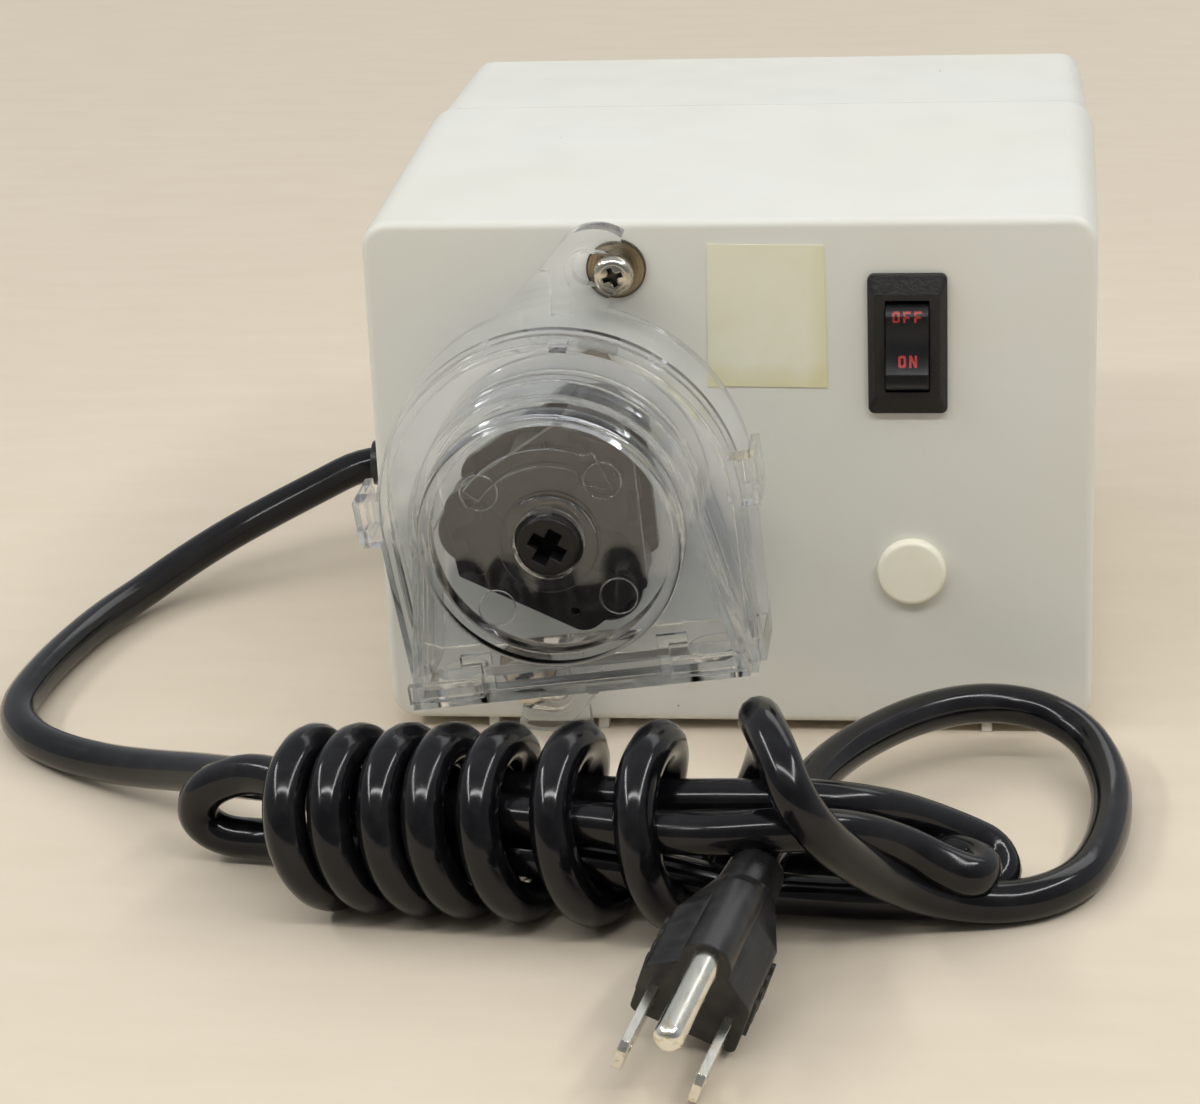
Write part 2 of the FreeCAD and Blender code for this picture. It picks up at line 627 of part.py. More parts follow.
def lug(turn):
    """One hook: a plate with a slot that a screw's sleeve slides in, and a thicker rim on a stem."""
    rim_front = PLATE_FRONT + HOOK_RIM
    back_foot = at_angle(HEAD_RADIUS - 1, LOCK_ANGLE + HOOK_FOOT_TURN)
    back_top = at_angle(HOOK_BACK, LOCK_ANGLE + HOOK_BACK_TURN)
    tip = at_angle(HOOK_RADIUS, LOCK_ANGLE - LUG_TIP_TURN)
    root = at_angle(HEAD_RADIUS - 1, LOCK_ANGLE - LUG_TIP_TURN)
    edges = [
        Part.LineSegment(back_foot, back_top),
        Part.Arc(back_top, at_angle(HOOK_RADIUS, LOCK_ANGLE + HOOK_CROWN_TURN), tip),
        Part.LineSegment(tip, root),
        Part.LineSegment(root, back_foot),
    ]
    wire = Part.Wire([edge.toShape() for edge in edges])
    far = 2 * HOOK_RADIUS
    wedge = prism(loop([(0, 0, 0), at_angle(far, LOCK_ANGLE - 30), at_angle(far, LOCK_ANGLE)]),
                  PLATE_GAP - 1, rim_front + 1)
    end = at_angle(LOCK_RADIUS, LOCK_ANGLE)

    def path(half, z0):
        """The way that a round thing of this radius takes along the slot."""
        track = ring(LOCK_RADIUS + half, LOCK_RADIUS - half, z0, rim_front + 1)
        return fuse(track.common(wedge), disc(half, z0, rim_front + 1, end.x, end.y))

    stem = block(HEAD_RADIUS - 1, LOCK_RADIUS + 1, -HOOK_STEM / 2, HOOK_STEM / 2, PLATE_GAP, rim_front)
    stem.rotate(Vector(0, 0, 0), Vector(0, 0, 1), LOCK_ANGLE + HOOK_STEM_TURN)
    outer = ring(HOOK_RADIUS + 9, LOCK_RADIUS, PLATE_GAP, rim_front)
    rim = prism(wire, PLATE_GAP, rim_front).common(fuse(outer, stem))
    rim = rim.cut(path(HEAD_SCREW_HEAD + HOOK_CLEAR, PLATE_FRONT))
    body = fuse(prism(wire, PLATE_GAP, PLATE_FRONT), rim).cut(path(SLEEVE_RADIUS + SLOT_GAP, PLATE_GAP - 1))
    body.rotate(Vector(0, 0, 0), Vector(0, 0, 1), turn)
    return body


def finger_tab():
    """The grip that carries the lower hook down past the case's edge."""
    corners = [(-TAB_LEFT, -TAB_RISE, 0), (-TAB_LEFT, -TAB_DROP + TAB_SLANT, 0),
               (-TAB_RIGHT, -TAB_DROP, 0), (-TAB_RIGHT, -TAB_RISE, 0)]
    return prism(loop(corners), PLATE_GAP, PLATE_FRONT)


def latch_nose(side):
    """A ramp on the flange's edge that holds the cover's arm."""
    root = HEAD_RADIUS - 0.8
    tip = HEAD_RADIUS + LATCH_NOSE
    deep = SPLIT_DEPTH - 3.2
    profile = loop([(side * root, 0, SPLIT_DEPTH), (side * tip, 0, deep + 0.8), (side * tip, 0, deep),
                    (side * root, 0, deep)])
    face = Part.Face(profile)
    face.translate(Vector(0, LATCH_RISE - 2.5, 0))
    return face.extrude(Vector(0, 5.0, 0))


def housing():
    plate = prism(outline(0), PLATE_GAP, PLATE_FRONT)
    pad = disc(PAD_RADIUS, 0, PLATE_GAP)
    flange = prism(outline(0.4), SPLIT_DEPTH - FLANGE_THICK, SPLIT_DEPTH)
    flange = flange.cut(prism(keyhole(0, FLOOR_DROP), 0, SPLIT_DEPTH + 1))
    base = block(-BASE_HALF, BASE_HALF, -BASE_DROP, -FLOOR_DROP, PLATE_FRONT, SPLIT_DEPTH)
    wall = chamber_wall(PLATE_FRONT - 0.5, SPLIT_DEPTH)
    body = fuse(plate, pad, lug(0), lug(180), finger_tab(), wall, flange, base, latch_nose(-1),
                latch_nose(1))
    return cut(body, disc(BUSHING_FLANGE + SCREW_GAP, -1, PLATE_FRONT + 1), *ports())


# Pump head cover: skirt, stepped dome over the rotor, a raised disc and two snap arms
def snap_arm(side):
    """A window-shaped arm that reaches back over the flange's edge."""
    half = LATCH_HEIGHT / 2
    inside, outside = ARM_INSIDE, ARM_INSIDE + LATCH_WALL
    back = SPLIT_DEPTH - 7.0
    arm = block(inside, outside, LATCH_RISE - half, LATCH_RISE + half, back, COVER_PLATE)
    bridge = block(HEAD_RADIUS - COVER_INSET - 2.2, inside + 0.4, LATCH_RISE - half, LATCH_RISE + half,
                   COVER_BACK + 1.6, COVER_PLATE)
    window = block(inside - 1, outside + 1, LATCH_RISE - half + 1.8, LATCH_RISE + half - 1.8,
                   back + 2.2, SPLIT_DEPTH - 0.4)
    arm = fuse(arm, bridge).cut(window)
    if side < 0:
        arm = arm.mirror(Vector(0, 0, 0), Vector(1, 0, 0))
    return arm


def cover():
    skirt = prism(outline(COVER_INSET), COVER_BACK, COVER_PLATE)
    skirt = skirt.cut(prism(outline(COVER_INSET + COVER_WALL), COVER_BACK - 1, COVER_PLATE - COVER_WALL))
    dome = prism(keyhole(RACE_WALL, FLOOR_DROP + RACE_WALL), COVER_BACK, DOME_DEPTH)
    base = block(-BASE_HALF + COVER_INSET, BASE_HALF - COVER_INSET, -BASE_DROP + COVER_INSET / 2,
                 -FLOOR_DROP, COVER_BACK, COVER_PLATE)
    raised = disc(DISC_RADIUS, DOME_DEPTH - COVER_WALL, DISC_DEPTH)
    raised = round_edges(raised, DISC_EDGE, lies_at(DISC_DEPTH))
    collar = disc(COLLAR_RADIUS, DISC_DEPTH - COVER_WALL, DISC_DEPTH + COLLAR_HEIGHT)
    body = fuse(skirt, dome, base, raised, collar, snap_arm(-1), snap_arm(1))
    hollow = fuse(
        prism(keyhole(0, FLOOR_DROP), COVER_BACK - 1, DOME_DEPTH - COVER_WALL),
        disc(DISC_RADIUS - DISC_WALL, COVER_BACK, DISC_DEPTH - COVER_WALL),
    )
    body = cut(body, hollow, disc(COLLAR_BORE, COVER_BACK, DISC_DEPTH + COLLAR_HEIGHT + 1), *ports())
    key = block(-KEY_WIDTH / 2, KEY_WIDTH / 2, COLLAR_BORE - KEY_DEPTH, COLLAR_BORE + 0.5,
                DISC_DEPTH - COVER_WALL, DISC_DEPTH + COLLAR_HEIGHT / 2)
    notch = block(HEAD_RADIUS - COVER_INSET - COVER_WALL, HEAD_RADIUS, -RIM_NOTCH / 2, RIM_NOTCH / 2,
                  COVER_PLATE - 2 * COVER_WALL, COVER_PLATE + 1)
    notch.rotate(Vector(0, 0, 0), Vector(0, 0, 1), RIM_NOTCH_ANGLE)
    bars = [key]
    slots = [notch]
    for side in (-1, 1):
        near, far = side * (WINDOW_HALF + HOOK_SLOT), side * (WINDOW_HALF + HOOK_SLOT + BAR_LENGTH)
        bars.append(block(min(near, far), max(near, far), -FLOOR_DROP, -FLOOR_DROP + BAR_HEIGHT,
                          DOME_DEPTH - 0.5, DOME_DEPTH + BAR_THICK))
        low, high = -FLOOR_DROP + 0.2, -FLOOR_DROP + BAR_HEIGHT + 4.4
        edge = side * WINDOW_HALF
        slots.append(block(min(edge, near), max(edge, near), low, high, DOME_DEPTH - 3, DOME_DEPTH + 3))
        hook = side * (WINDOW_HALF + HOOK_SLOT + 3.6)
        slots.append(block(min(edge, hook), max(edge, hook), high - HOOK_SLOT, high, DOME_DEPTH - 3,
                           DOME_DEPTH + 3))
    pane = block(-WINDOW_HALF, WINDOW_HALF, -FLOOR_DROP + 0.2, 0, DOME_DEPTH - PANE_STEP, DOME_DEPTH + 1)
    pane = pane.cut(disc(DISC_RADIUS + 0.6, 0, DISC_DEPTH + 9))
    return cut(fuse(body, *bars), pane, *slots)


save("head_housing", on_axis(housing(), HEAD_TURN))
save("head_cover", on_axis(cover(), HEAD_TURN))


# Head screws: a washer on the case, a sleeve that the hook turns round, and a pan-head screw
def head_screw():
    shank = disc(HEAD_SCREW_RADIUS, -HEAD_SCREW_LENGTH, SLEEVE_TOP)
    head = disc(HEAD_SCREW_HEAD, SLEEVE_TOP, SLEEVE_TOP + HEAD_SCREW_RISE)
    head = round_edges(head, 1.4, lies_at(SLEEVE_TOP + HEAD_SCREW_RISE))
    top = SLEEVE_TOP + HEAD_SCREW_RISE
    reach, half = HEAD_SCREW_RADIUS, HEAD_SCREW_SLOT / 2
    cross = fuse(block(-reach, reach, -half, half, top - 1.6, top + 1),
                 block(-half, half, -reach, reach, top - 1.6, top + 1))
    return fuse(shank, head).cut(cross)


def at_screws(shape, turn=0.0):
    """One copy of a shape at each head screw."""
    return [on_front(shape, AXIS_X + place.x, AXIS_Z + place.y, turn) for place in head_screws()]


hole = HEAD_SCREW_RADIUS + FIT_GAP
save("head_washers", *at_screws(ring(WASHER_RADIUS, hole, 0, WASHER_THICK)))
save("head_sleeves", *at_screws(ring(SLEEVE_RADIUS, hole, WASHER_THICK, SLEEVE_TOP)))
save("head_screws", *at_screws(head_screw(), HEAD_SCREW_TURN))


# Rotor: two lobed plates with three rollers between them, keyed to the drive shaft
def lobed_plate(z0, z1):
    """A triangle with blunt corners, one over each roller, each with a round toe and a sharp heel."""
    corners = []
    for index in range(3):
        middle = ROLLER_ANGLE + 120 * index
        corners.append(at_angle(LOBE_TOE, middle - LOBE_SPREAD))
        corners.append(at_angle(LOBE_HEEL, middle + LOBE_SPREAD))
    plate = prism(loop(corners), z0, z1)
    for radius, reach in ((TOE_ROUND, LOBE_TOE), (HEEL_ROUND, LOBE_HEEL)):
        tips = [edge for edge in plate.Edges if upright(edge)
                and abs(math.hypot(edge.CenterOfMass.x, edge.CenterOfMass.y) - reach) < 0.01]
        plate = plate.makeFillet(radius, tips)
    return plate


def shaft_section(radius, flat, z0, z1):
    """A round bar with one flat."""
    bar = disc(radius, z0, z1)
    return bar.cut(block(flat, radius + 1, -radius - 1, radius + 1, z0 - 1, z1 + 1))


def axle_holes(z0, z1):
    holes = []
    for index in range(3):
        place = at_angle(ROLLER_PLACE, ROLLER_ANGLE + 120 * index)
        holes.append(disc(AXLE_RADIUS + FIT_GAP, z0, z1, place.x, place.y))
    return holes


def guide_places():
    return [at_angle(GUIDE_PLACE, ROLLER_ANGLE + 60 + 120 * index) for index in range(3)]


def dowel_holes():
    """Blind holes near the corners of the front plate, from its moulding pins."""
    holes = []
    for index in range(3):
        for side in (-1, 1):
            place = at_angle(DOWEL_PLACE, ROLLER_ANGLE + 120 * index + side * DOWEL_SPREAD)
            holes.append(disc(DOWEL_RADIUS, ROTOR_FRONT - DOWEL_DEPTH, ROTOR_FRONT + 1, place.x, place.y))
    return holes


def rotor_back():
    """The rear plate with the hub and three posts that the front plate lands on."""
    plate = lobed_plate(ROTOR_BACK, AXLE_BACK)
    hub = disc(HUB_RADIUS, ROTOR_BACK, AXLE_FRONT)
    posts = [disc(GUIDE_POST, ROTOR_BACK, AXLE_FRONT, place.x, place.y) for place in guide_places()]
    bore = shaft_section(SHAFT_RADIUS + FIT_GAP, SHAFT_FLAT + FIT_GAP, 0, SHAFT_FRONT + 2)
    return cut(fuse(plate, hub, *posts), bore, *axle_holes(0, AXLE_BACK + 1))


def rotor_front():
    """The front plate with the nose that shows through the cover."""
    plate = lobed_plate(AXLE_FRONT, ROTOR_FRONT)
    nose = disc(NOSE_RADIUS, AXLE_FRONT, HEAD_DEPTH)
    nose = round_edges(nose, 0.5, lies_at(HEAD_DEPTH))
    half, wide, deep = CROSS_LENGTH / 2, CROSS_WIDTH / 2, HEAD_DEPTH - CROSS_DEPTH
    cross = fuse(block(-half, half, -wide, wide, deep, HEAD_DEPTH + 1),
                 block(-wide, wide, -half, half, deep, HEAD_DEPTH + 1))
    cross.rotate(Vector(0, 0, 0), Vector(0, 0, 1), 60)
    bore = shaft_section(SHAFT_RADIUS + FIT_GAP, SHAFT_FLAT + FIT_GAP, AXLE_FRONT - 1, SHAFT_FRONT + 0.3)
    return cut(fuse(plate, nose), cross, bore, *dowel_holes(),
               *axle_holes(AXLE_FRONT - 1, AXLE_FRONT + AXLE_SEAT))


def roller(index):
    place = at_angle(ROLLER_PLACE, ROLLER_ANGLE + 120 * index)
    low, high = AXLE_BACK + ROLLER_END_GAP, AXLE_FRONT - ROLLER_END_GAP
    body = round_edges(disc(ROLLER_RADIUS, low, high), 0.8, lambda e: lies_at(low)(e) or lies_at(high)(e))
    body = body.cut(disc(AXLE_RADIUS + FIT_GAP, low - 1, high + 1))
    body.translate(place)
    return body


def axle(index):
    place = at_angle(ROLLER_PLACE, ROLLER_ANGLE + 120 * index)
    return disc(AXLE_RADIUS, ROTOR_BACK + 0.4, AXLE_FRONT + AXLE_SEAT, place.x, place.y)


save("rotor_back", on_axis(rotor_back()))
save("rotor_front", on_axis(rotor_front()))
for number in range(3):
    save("roller_%d" % (number + 1), on_axis(roller(number)))
save("roller_axles", *[on_axis(axle(number)) for number in range(3)])


# Gearmotor: a mounting plate, a gearbox, and a shaded-pole motor behind it
GEAR_FRONT = -CASE_WALL - MOUNT_PLATE
GEAR_BACK = GEAR_FRONT - GEARBOX_DEPTH
STATOR_FRONT = GEAR_BACK - STATOR_GAP
STATOR_BACK = STATOR_FRONT - STATOR_DEPTH


def gear_screw_places():
    reach = GEARBOX_WIDTH / 2 - GEAR_SCREW_INSET
    return [(sx * reach, sy * reach) for sx in (-1, 1) for sy in (-1, 1)]


def mount_plate():
    """The steel plate that the head screws also hold against the case's front wall."""
    plate = prism(rounded(GEARBOX_WIDTH, GEARBOX_WIDTH, GEARBOX_CORNER, 0), GEAR_FRONT, -CASE_WALL)
    ends = [disc(MOUNT_END, GEAR_FRONT, -CASE_WALL, place.x, place.y) for place in head_screws()]
    bar = block(-LOCK_RADIUS, LOCK_RADIUS, -MOUNT_END, MOUNT_END, GEAR_FRONT, -CASE_WALL)
    bar.rotate(Vector(0, 0, 0), Vector(0, 0, 1), LOCK_ANGLE)
    holes = [disc(HEAD_SCREW_RADIUS + FIT_GAP, -9, 0, place.x, place.y) for place in head_screws()]
    return cut(fuse(plate, bar, *ends), disc(BUSHING_RADIUS + FIT_GAP, -9, 0), *holes)


def gearbox():
    box = prism(rounded(GEARBOX_WIDTH, GEARBOX_WIDTH, GEARBOX_CORNER, 0), GEAR_BACK + GEARBOX_WALL,
                GEAR_FRONT)
    inside = GEARBOX_WIDTH - 2 * GEARBOX_WALL
    hollow = prism(rounded(inside, inside, GEARBOX_CORNER - GEARBOX_WALL, 0), GEAR_BACK, GEAR_FRONT -
                   GEARBOX_WALL)
    floor = GEAR_BACK + GEARBOX_WALL
    bosses = [disc(GEAR_BOSS, floor, GEAR_FRONT - 1, x, y) for x, y in gear_screw_places()]
    holes = [disc(GEAR_SCREW_RADIUS + FIT_GAP, GEAR_BACK, GEAR_FRONT - 8, x, y)
             for x, y in gear_screw_places()]
    return cut(fuse(box.cut(hollow), *bosses), disc(BUSHING_RADIUS + FIT_GAP, GEAR_BACK, 0), *holes)


def gearbox_cover():
    lid = prism(rounded(GEARBOX_WIDTH, GEARBOX_WIDTH, GEARBOX_CORNER, 0), GEAR_BACK, GEAR_BACK +
                GEARBOX_WALL)
    holes = [disc(GEAR_SCREW_RADIUS + SCREW_GAP, GEAR_BACK - 1, 0, x, y) for x, y in gear_screw_places()]
    motor_hole = disc(MOTOR_SHAFT_RADIUS + SCREW_GAP, GEAR_BACK - 1, 0, 0, -MOTOR_DROP)
    bearing = disc(SHAFT_RADIUS + BEARING_WALL, GEAR_BACK + 1, GEAR_BACK + GEARBOX_WALL + BEARING_RISE)
    shaft_hole = disc(SHAFT_RADIUS + FIT_GAP, GEAR_BACK + BEARING_FLOOR, 0)
    side_holes = [disc(MOTOR_SCREW_RADIUS + FIT_GAP, GEAR_BACK - 1, 0, side * MOTOR_SCREW_PITCH / 2,
                       -MOTOR_DROP) for side in (-1, 1)]
    return cut(fuse(lid, bearing), shaft_hole, motor_hole, *holes, *side_holes)


def gear_screw(x, y):
    shank = disc(GEAR_SCREW_RADIUS, GEAR_BACK, GEAR_BACK + GEAR_SCREW_LENGTH, x, y)
    head = disc(GEAR_SCREW_HEAD, GEAR_BACK - 2, GEAR_BACK, x, y)
    return fuse(shank, head)


def bushing():
    """The flanged bronze bearing that carries the drive shaft through the wall."""
    sleeve = disc(BUSHING_RADIUS, GEAR_FRONT - GEARBOX_WALL, BUSHING_RISE)
    flange = disc(BUSHING_FLANGE, 0, 1.2)
    return fuse(sleeve, flange).cut(disc(SHAFT_RADIUS + FIT_GAP, GEAR_BACK, HEAD_DEPTH))


def drive_shaft():
    plain = disc(SHAFT_RADIUS, GEAR_BACK + 1.6, ROTOR_BACK - 0.2)
    keyed = shaft_section(SHAFT_RADIUS, SHAFT_FLAT, ROTOR_BACK - 0.4, SHAFT_FRONT)
    return fuse(plain, keyed)


def output_gear():
    """The last gear of the train, pressed on the drive shaft, with its teeth as slots in the rim."""
    back = GEAR_BACK + GEARBOX_WALL + 5.5
    front = back + GEAR_THICK
    wheel = disc(GEAR_RADIUS, back, front)
    teeth = []
    for index in range(GEAR_TEETH):
        tooth = block(GEAR_RADIUS - 0.8, GEAR_RADIUS + TOOTH_HEIGHT, -TOOTH_WIDTH / 2, TOOTH_WIDTH / 2,
                      back, front)
        tooth.rotate(Vector(0, 0, 0), Vector(0, 0, 1), index * 360 / GEAR_TEETH)
        teeth.append(tooth)
    hub = disc(GEAR_HUB, back - 1, back - 1 + GEAR_HUB_LENGTH)
    return fuse(wheel, hub, *teeth).cut(disc(SHAFT_RADIUS, GEAR_BACK, 0))


def motor_stator():
    """The laminated frame: a closed window round the coil, bored for the motor's rotor."""
    half = STATOR_WIDTH / 2
    frame = block(-half, half, -STATOR_BELOW, STATOR_ABOVE, STATOR_BACK, STATOR_FRONT)
    window = block(-half + STATOR_LIMB, half - STATOR_LIMB, STATOR_BORE + STATOR_BRIDGE,
                   STATOR_ABOVE - STATOR_CORE, STATOR_BACK - 1, STATOR_FRONT + 1)
    bore = disc(STATOR_BORE, STATOR_BACK - 1, STATOR_FRONT + 1)
    holes = [disc(MOTOR_SCREW_RADIUS + FIT_GAP, STATOR_BACK - 1, 0, side * MOTOR_SCREW_PITCH / 2)
             for side in (-1, 1)]
    return cut(frame, window, bore, *holes)


def motor_coil():
    """The winding on the stator's upper bar, between two flanges."""
    middle = Vector(-COIL_LENGTH / 2, STATOR_ABOVE - STATOR_CORE / 2, (STATOR_FRONT + STATOR_BACK) / 2)
    winding = Part.makeCylinder(COIL_RADIUS, COIL_LENGTH, middle, Vector(1, 0, 0))
    half, gap = COIL_LENGTH / 2 + 1, COIL_GAP
    core = block(-half, half, STATOR_ABOVE - STATOR_CORE - gap, STATOR_ABOVE + gap,
                 STATOR_BACK - gap, STATOR_FRONT + gap)
    return winding.cut(core)


def motor_bracket(inner, outward):
    """A strap across the stator with a bearing boss in its middle."""
    stand = inner + outward * BRACKET_STAND
    low, high = sorted((stand, stand + outward * BRACKET_THICK))
    half = MOTOR_SCREW_PITCH / 2 + 4
    strap = block(-half, half, -BRACKET_WIDTH / 2, BRACKET_WIDTH / 2, low, high)
    feet_low, feet_high = sorted((inner, stand))
    posts = [ring(BRACKET_POST, MOTOR_SCREW_RADIUS + FIT_GAP, feet_low, feet_high,
                  side * MOTOR_SCREW_PITCH / 2) for side in (-1, 1)]
    boss = disc(BRACKET_BOSS, low - 0.5, high + 0.5)
    holes = [disc(MOTOR_SCREW_RADIUS + FIT_GAP, low - 1, high + 1, side * MOTOR_SCREW_PITCH / 2)
             for side in (-1, 1)]
    return cut(fuse(strap, boss, *posts), disc(MOTOR_SHAFT_RADIUS + FIT_GAP, low - 1, high + 1), *holes)


def motor_rotor():
    body = disc(MOTOR_ROTOR_RADIUS, STATOR_BACK, STATOR_FRONT)
    shaft = disc(MOTOR_SHAFT_RADIUS, STATOR_BACK - BRACKET_STAND - BRACKET_THICK - 2, GEAR_BACK + 6)
    return fuse(body, shaft)


def motor_screws():
    far = STATOR_BACK - BRACKET_STAND - BRACKET_THICK
    screws = []
    for side in (-1, 1):
        x = side * MOTOR_SCREW_PITCH / 2
        shank = disc(MOTOR_SCREW_RADIUS, far, GEAR_BACK + GEARBOX_WALL - 0.5, x)
        screws.append(fuse(shank, disc(MOTOR_SCREW_HEAD, far - 2, far, x)))
    return screws


def on_motor(shape):
    """Place a shape drawn about the motor's own axis, below the pump's."""
    return on_front(shape, AXIS_X, AXIS_Z - MOTOR_DROP)


save("mount_plate", on_axis(mount_plate()))
save("gearbox_housing", on_axis(gearbox()))
save("gearbox_cover", on_axis(gearbox_cover()))
save("gearbox_screws", *[on_axis(gear_screw(x, y)) for x, y in gear_screw_places()])
save("shaft_bushing", on_axis(bushing()))
save("drive_shaft", on_axis(drive_shaft()))
save("output_gear", on_axis(output_gear()))
save("motor_stator", on_motor(motor_stator()))
save("motor_coil", on_motor(motor_coil()))
save("motor_bracket_front", on_motor(motor_bracket(STATOR_FRONT, 1)))
save("motor_bracket_rear", on_motor(motor_bracket(STATOR_BACK, -1)))
save("motor_rotor", on_motor(motor_rotor()))
save("motor_screws", *[on_motor(screw) for screw in motor_screws()])


# Strain relief: a flanged bush in the rear shell's left wall, with a tapered tail and a nut inside
def left_wall():
    """Where the rear shell's left wall stands at the cord, outside and inside."""
    shrink = (RELIEF_DEPTH - FRONT_DEPTH) * math.tan(math.radians(CASE_DRAFT))
    outside = CASE_WIDTH / 2 + FRONT_GROWTH - SEAM_STEP - shrink
    return outside, outside - CASE_WALL


def toward_left(radius, start, end, end_radius=None):
    """A round or tapered bar along the cord's exit, by its distances from the middle."""
    base = Vector(-start, FACE_Y + RELIEF_DEPTH, RELIEF_HEIGHT)
    if end_radius is None:
        return Part.makeCylinder(radius, end - start, base, Vector(-1, 0, 0))
    return Part.makeCone(radius, end_radius, end - start, base, Vector(-1, 0, 0))


def strain_relief():
    outside, inside = left_wall()
    seat = outside + 0.15
    flange = toward_left(RELIEF_FLANGE, seat, seat + RELIEF_FLANGE_THICK)
    tail = toward_left(RELIEF_RADIUS, seat + 0.5, outside + RELIEF_LENGTH, RELIEF_END_RADIUS)
    neck = toward_left(RELIEF_NECK, inside - RELIEF_INSIDE, seat + 1)
    bore = toward_left(CORD_RADIUS, inside - RELIEF_INSIDE - 1, outside + RELIEF_LENGTH + 1)
    return fuse(flange, tail, neck).cut(bore)


def relief_nut():
    inside = left_wall()[1] - 0.3
    nut = toward_left(RELIEF_NUT, inside - RELIEF_NUT_THICK, inside)
    return nut.cut(toward_left(RELIEF_NECK + FIT_GAP, inside - 20, inside + 9))


save("strain_relief", strain_relief())
save("relief_nut", relief_nut())


# Mains cord: a tube of straight runs and tangent arcs on each side of a wrapped hank
def cord_path(points, name):
    """A wire through a route, each corner rounded as far as its two runs allow."""
    places = [Vector(*point) for point in points]
    edges = []
    radii = []
    start = places[0]
    for before, corner, after in zip(places, places[1:], places[2:]):
        arriving, leaving = corner - before, after - corner
        turn = arriving.getAngle(leaving)
        setback = 0.45 * min(arriving.Length, leaving.Length)
        radii.append(setback / math.tan(turn / 2))
        arriving.normalize()
        leaving.normalize()
        entry, leave = corner - arriving * setback, corner + leaving * setback
        inward = (leaving - arriving).normalize()
        sagitta = radii[-1] * (1 / math.cos(turn / 2) - 1)
        edges.append(Part.LineSegment(start, entry).toShape())
        edges.append(Part.Arc(entry, corner + inward * sagitta, leave).toShape())
        start = leave
    edges.append(Part.LineSegment(start, places[-1]).toShape())
    wire = Part.Wire(edges)
    print(name, "length %.0f mm, radii" % wire.Length, " ".join("%.0f" % radius for radius in radii))
    return wire


def cord_tube(points, name):
    path = cord_path(points, name)
    direction = Vector(*points[1]) - Vector(*points[0])
    section = Part.Wire(Part.makeCircle(CORD_RADIUS, Vector(*points[0]), direction))
    tube = path.makePipeShell([section], True, False)
    expected = math.pi * CORD_RADIUS ** 2 * path.Length
    print(name, "volume over section times length %.4f" % (tube.Volume / expected))
    return tube


def plug_tail():
    """Where the cord enters the back of the plug."""
    pins = Vector(*PLUG_PINS).normalize()
    return Vector(*PLUG_TIP) - pins * (BLADE_LENGTH + PLUG_BODY) + Vector(*PLUG_UP) * PLUG_MIDDLE


def hank():
    """The wrapped bundle's outer shape, as upright ovals along its length."""
    sections = []
    for x, y, z, half_y, half_z in HANK_STATIONS:
        long_half, short_half = max(half_y, half_z), min(half_y, half_z)
        axis = Vector(0, 1, 0) if half_y >= half_z else Vector(0, 0, 1)
        other = Vector(0, 0, 1) if half_y >= half_z else Vector(0, 1, 0)
        centre = Vector(x, y, z)
        oval = Part.Ellipse(centre + axis * long_half, centre + other * (short_half - 0.001), centre)
        sections.append(Part.Wire(oval.toShape()))
    return Part.makeLoft(sections, True, True)


save("cord_lead", cord_tube(LEAD_ROUTE, "cord_lead"))
save("cord_loop", cord_tube(LOOP_ROUTE + (tuple(plug_tail()),), "cord_loop"))
save("cord_hank", hank())


# Mains plug: a moulded body with grip steps, two flat blades and a round ground pin
def on_plug(shape):
    """Place a shape drawn with the pins along +Z, the blades side by side along X and the pin up."""
    pins = Vector(*PLUG_PINS).normalize()
    across = Vector(*PLUG_UP).cross(pins).normalize()
    up = pins.cross(across)
    turn = Rotation(across, up, pins, "ZXY")
    placed = shape.copy()
    placed.Placement = Placement(Vector(*PLUG_TIP) - pins * BLADE_LENGTH, turn).multiply(shape.Placement)
    return placed


def plug_outline(half, low, shoulder, slope, slope_top, z):
    """The block's outline: upright sides, then shoulders that slope in to the ridge."""
    corners = [(-half, -low), (half, -low), (half, shoulder), (slope, slope_top), (-slope, slope_top),
               (-half, shoulder)]
    places = [Vector(x, y, z) for x, y in corners]
    edges = []
    for index, corner in enumerate(places):
        before, after = places[index - 1] - corner, places[(index + 1) % len(places)] - corner
        turn = math.pi - before.getAngle(after)
        setback = PLUG_CORNER * math.tan(turn / 2)
        before.normalize()
        after.normalize()
        entry, leave = corner + before * setback, corner + after * setback
        sagitta = PLUG_CORNER * (1 / math.cos(turn / 2) - 1)
        middle = corner + (before + after).normalize() * sagitta
        if edges:
            edges.append(Part.LineSegment(edges[-1].Vertexes[-1].Point, entry).toShape())
        edges.append(Part.Arc(entry, middle, leave).toShape())
    edges.append(Part.LineSegment(edges[-1].Vertexes[-1].Point, edges[0].Vertexes[0].Point).toShape())
    return Part.Wire(edges)


def plug_ribs():
    """Short grip ribs on the block's upright sides."""
    reach = PLUG_WIDTH / 2 + PLUG_RIB_HEIGHT
    ribs = []
    for index in range(PLUG_RIBS):
        z = PLUG_RIB_START - index * PLUG_RIB_PITCH
        ribs.append(block(-reach, reach, PLUG_CORNER - PLUG_LOW, PLUG_SHOULDER - PLUG_CORNER,
                          z - PLUG_RIB_WIDTH, z))
    return ribs


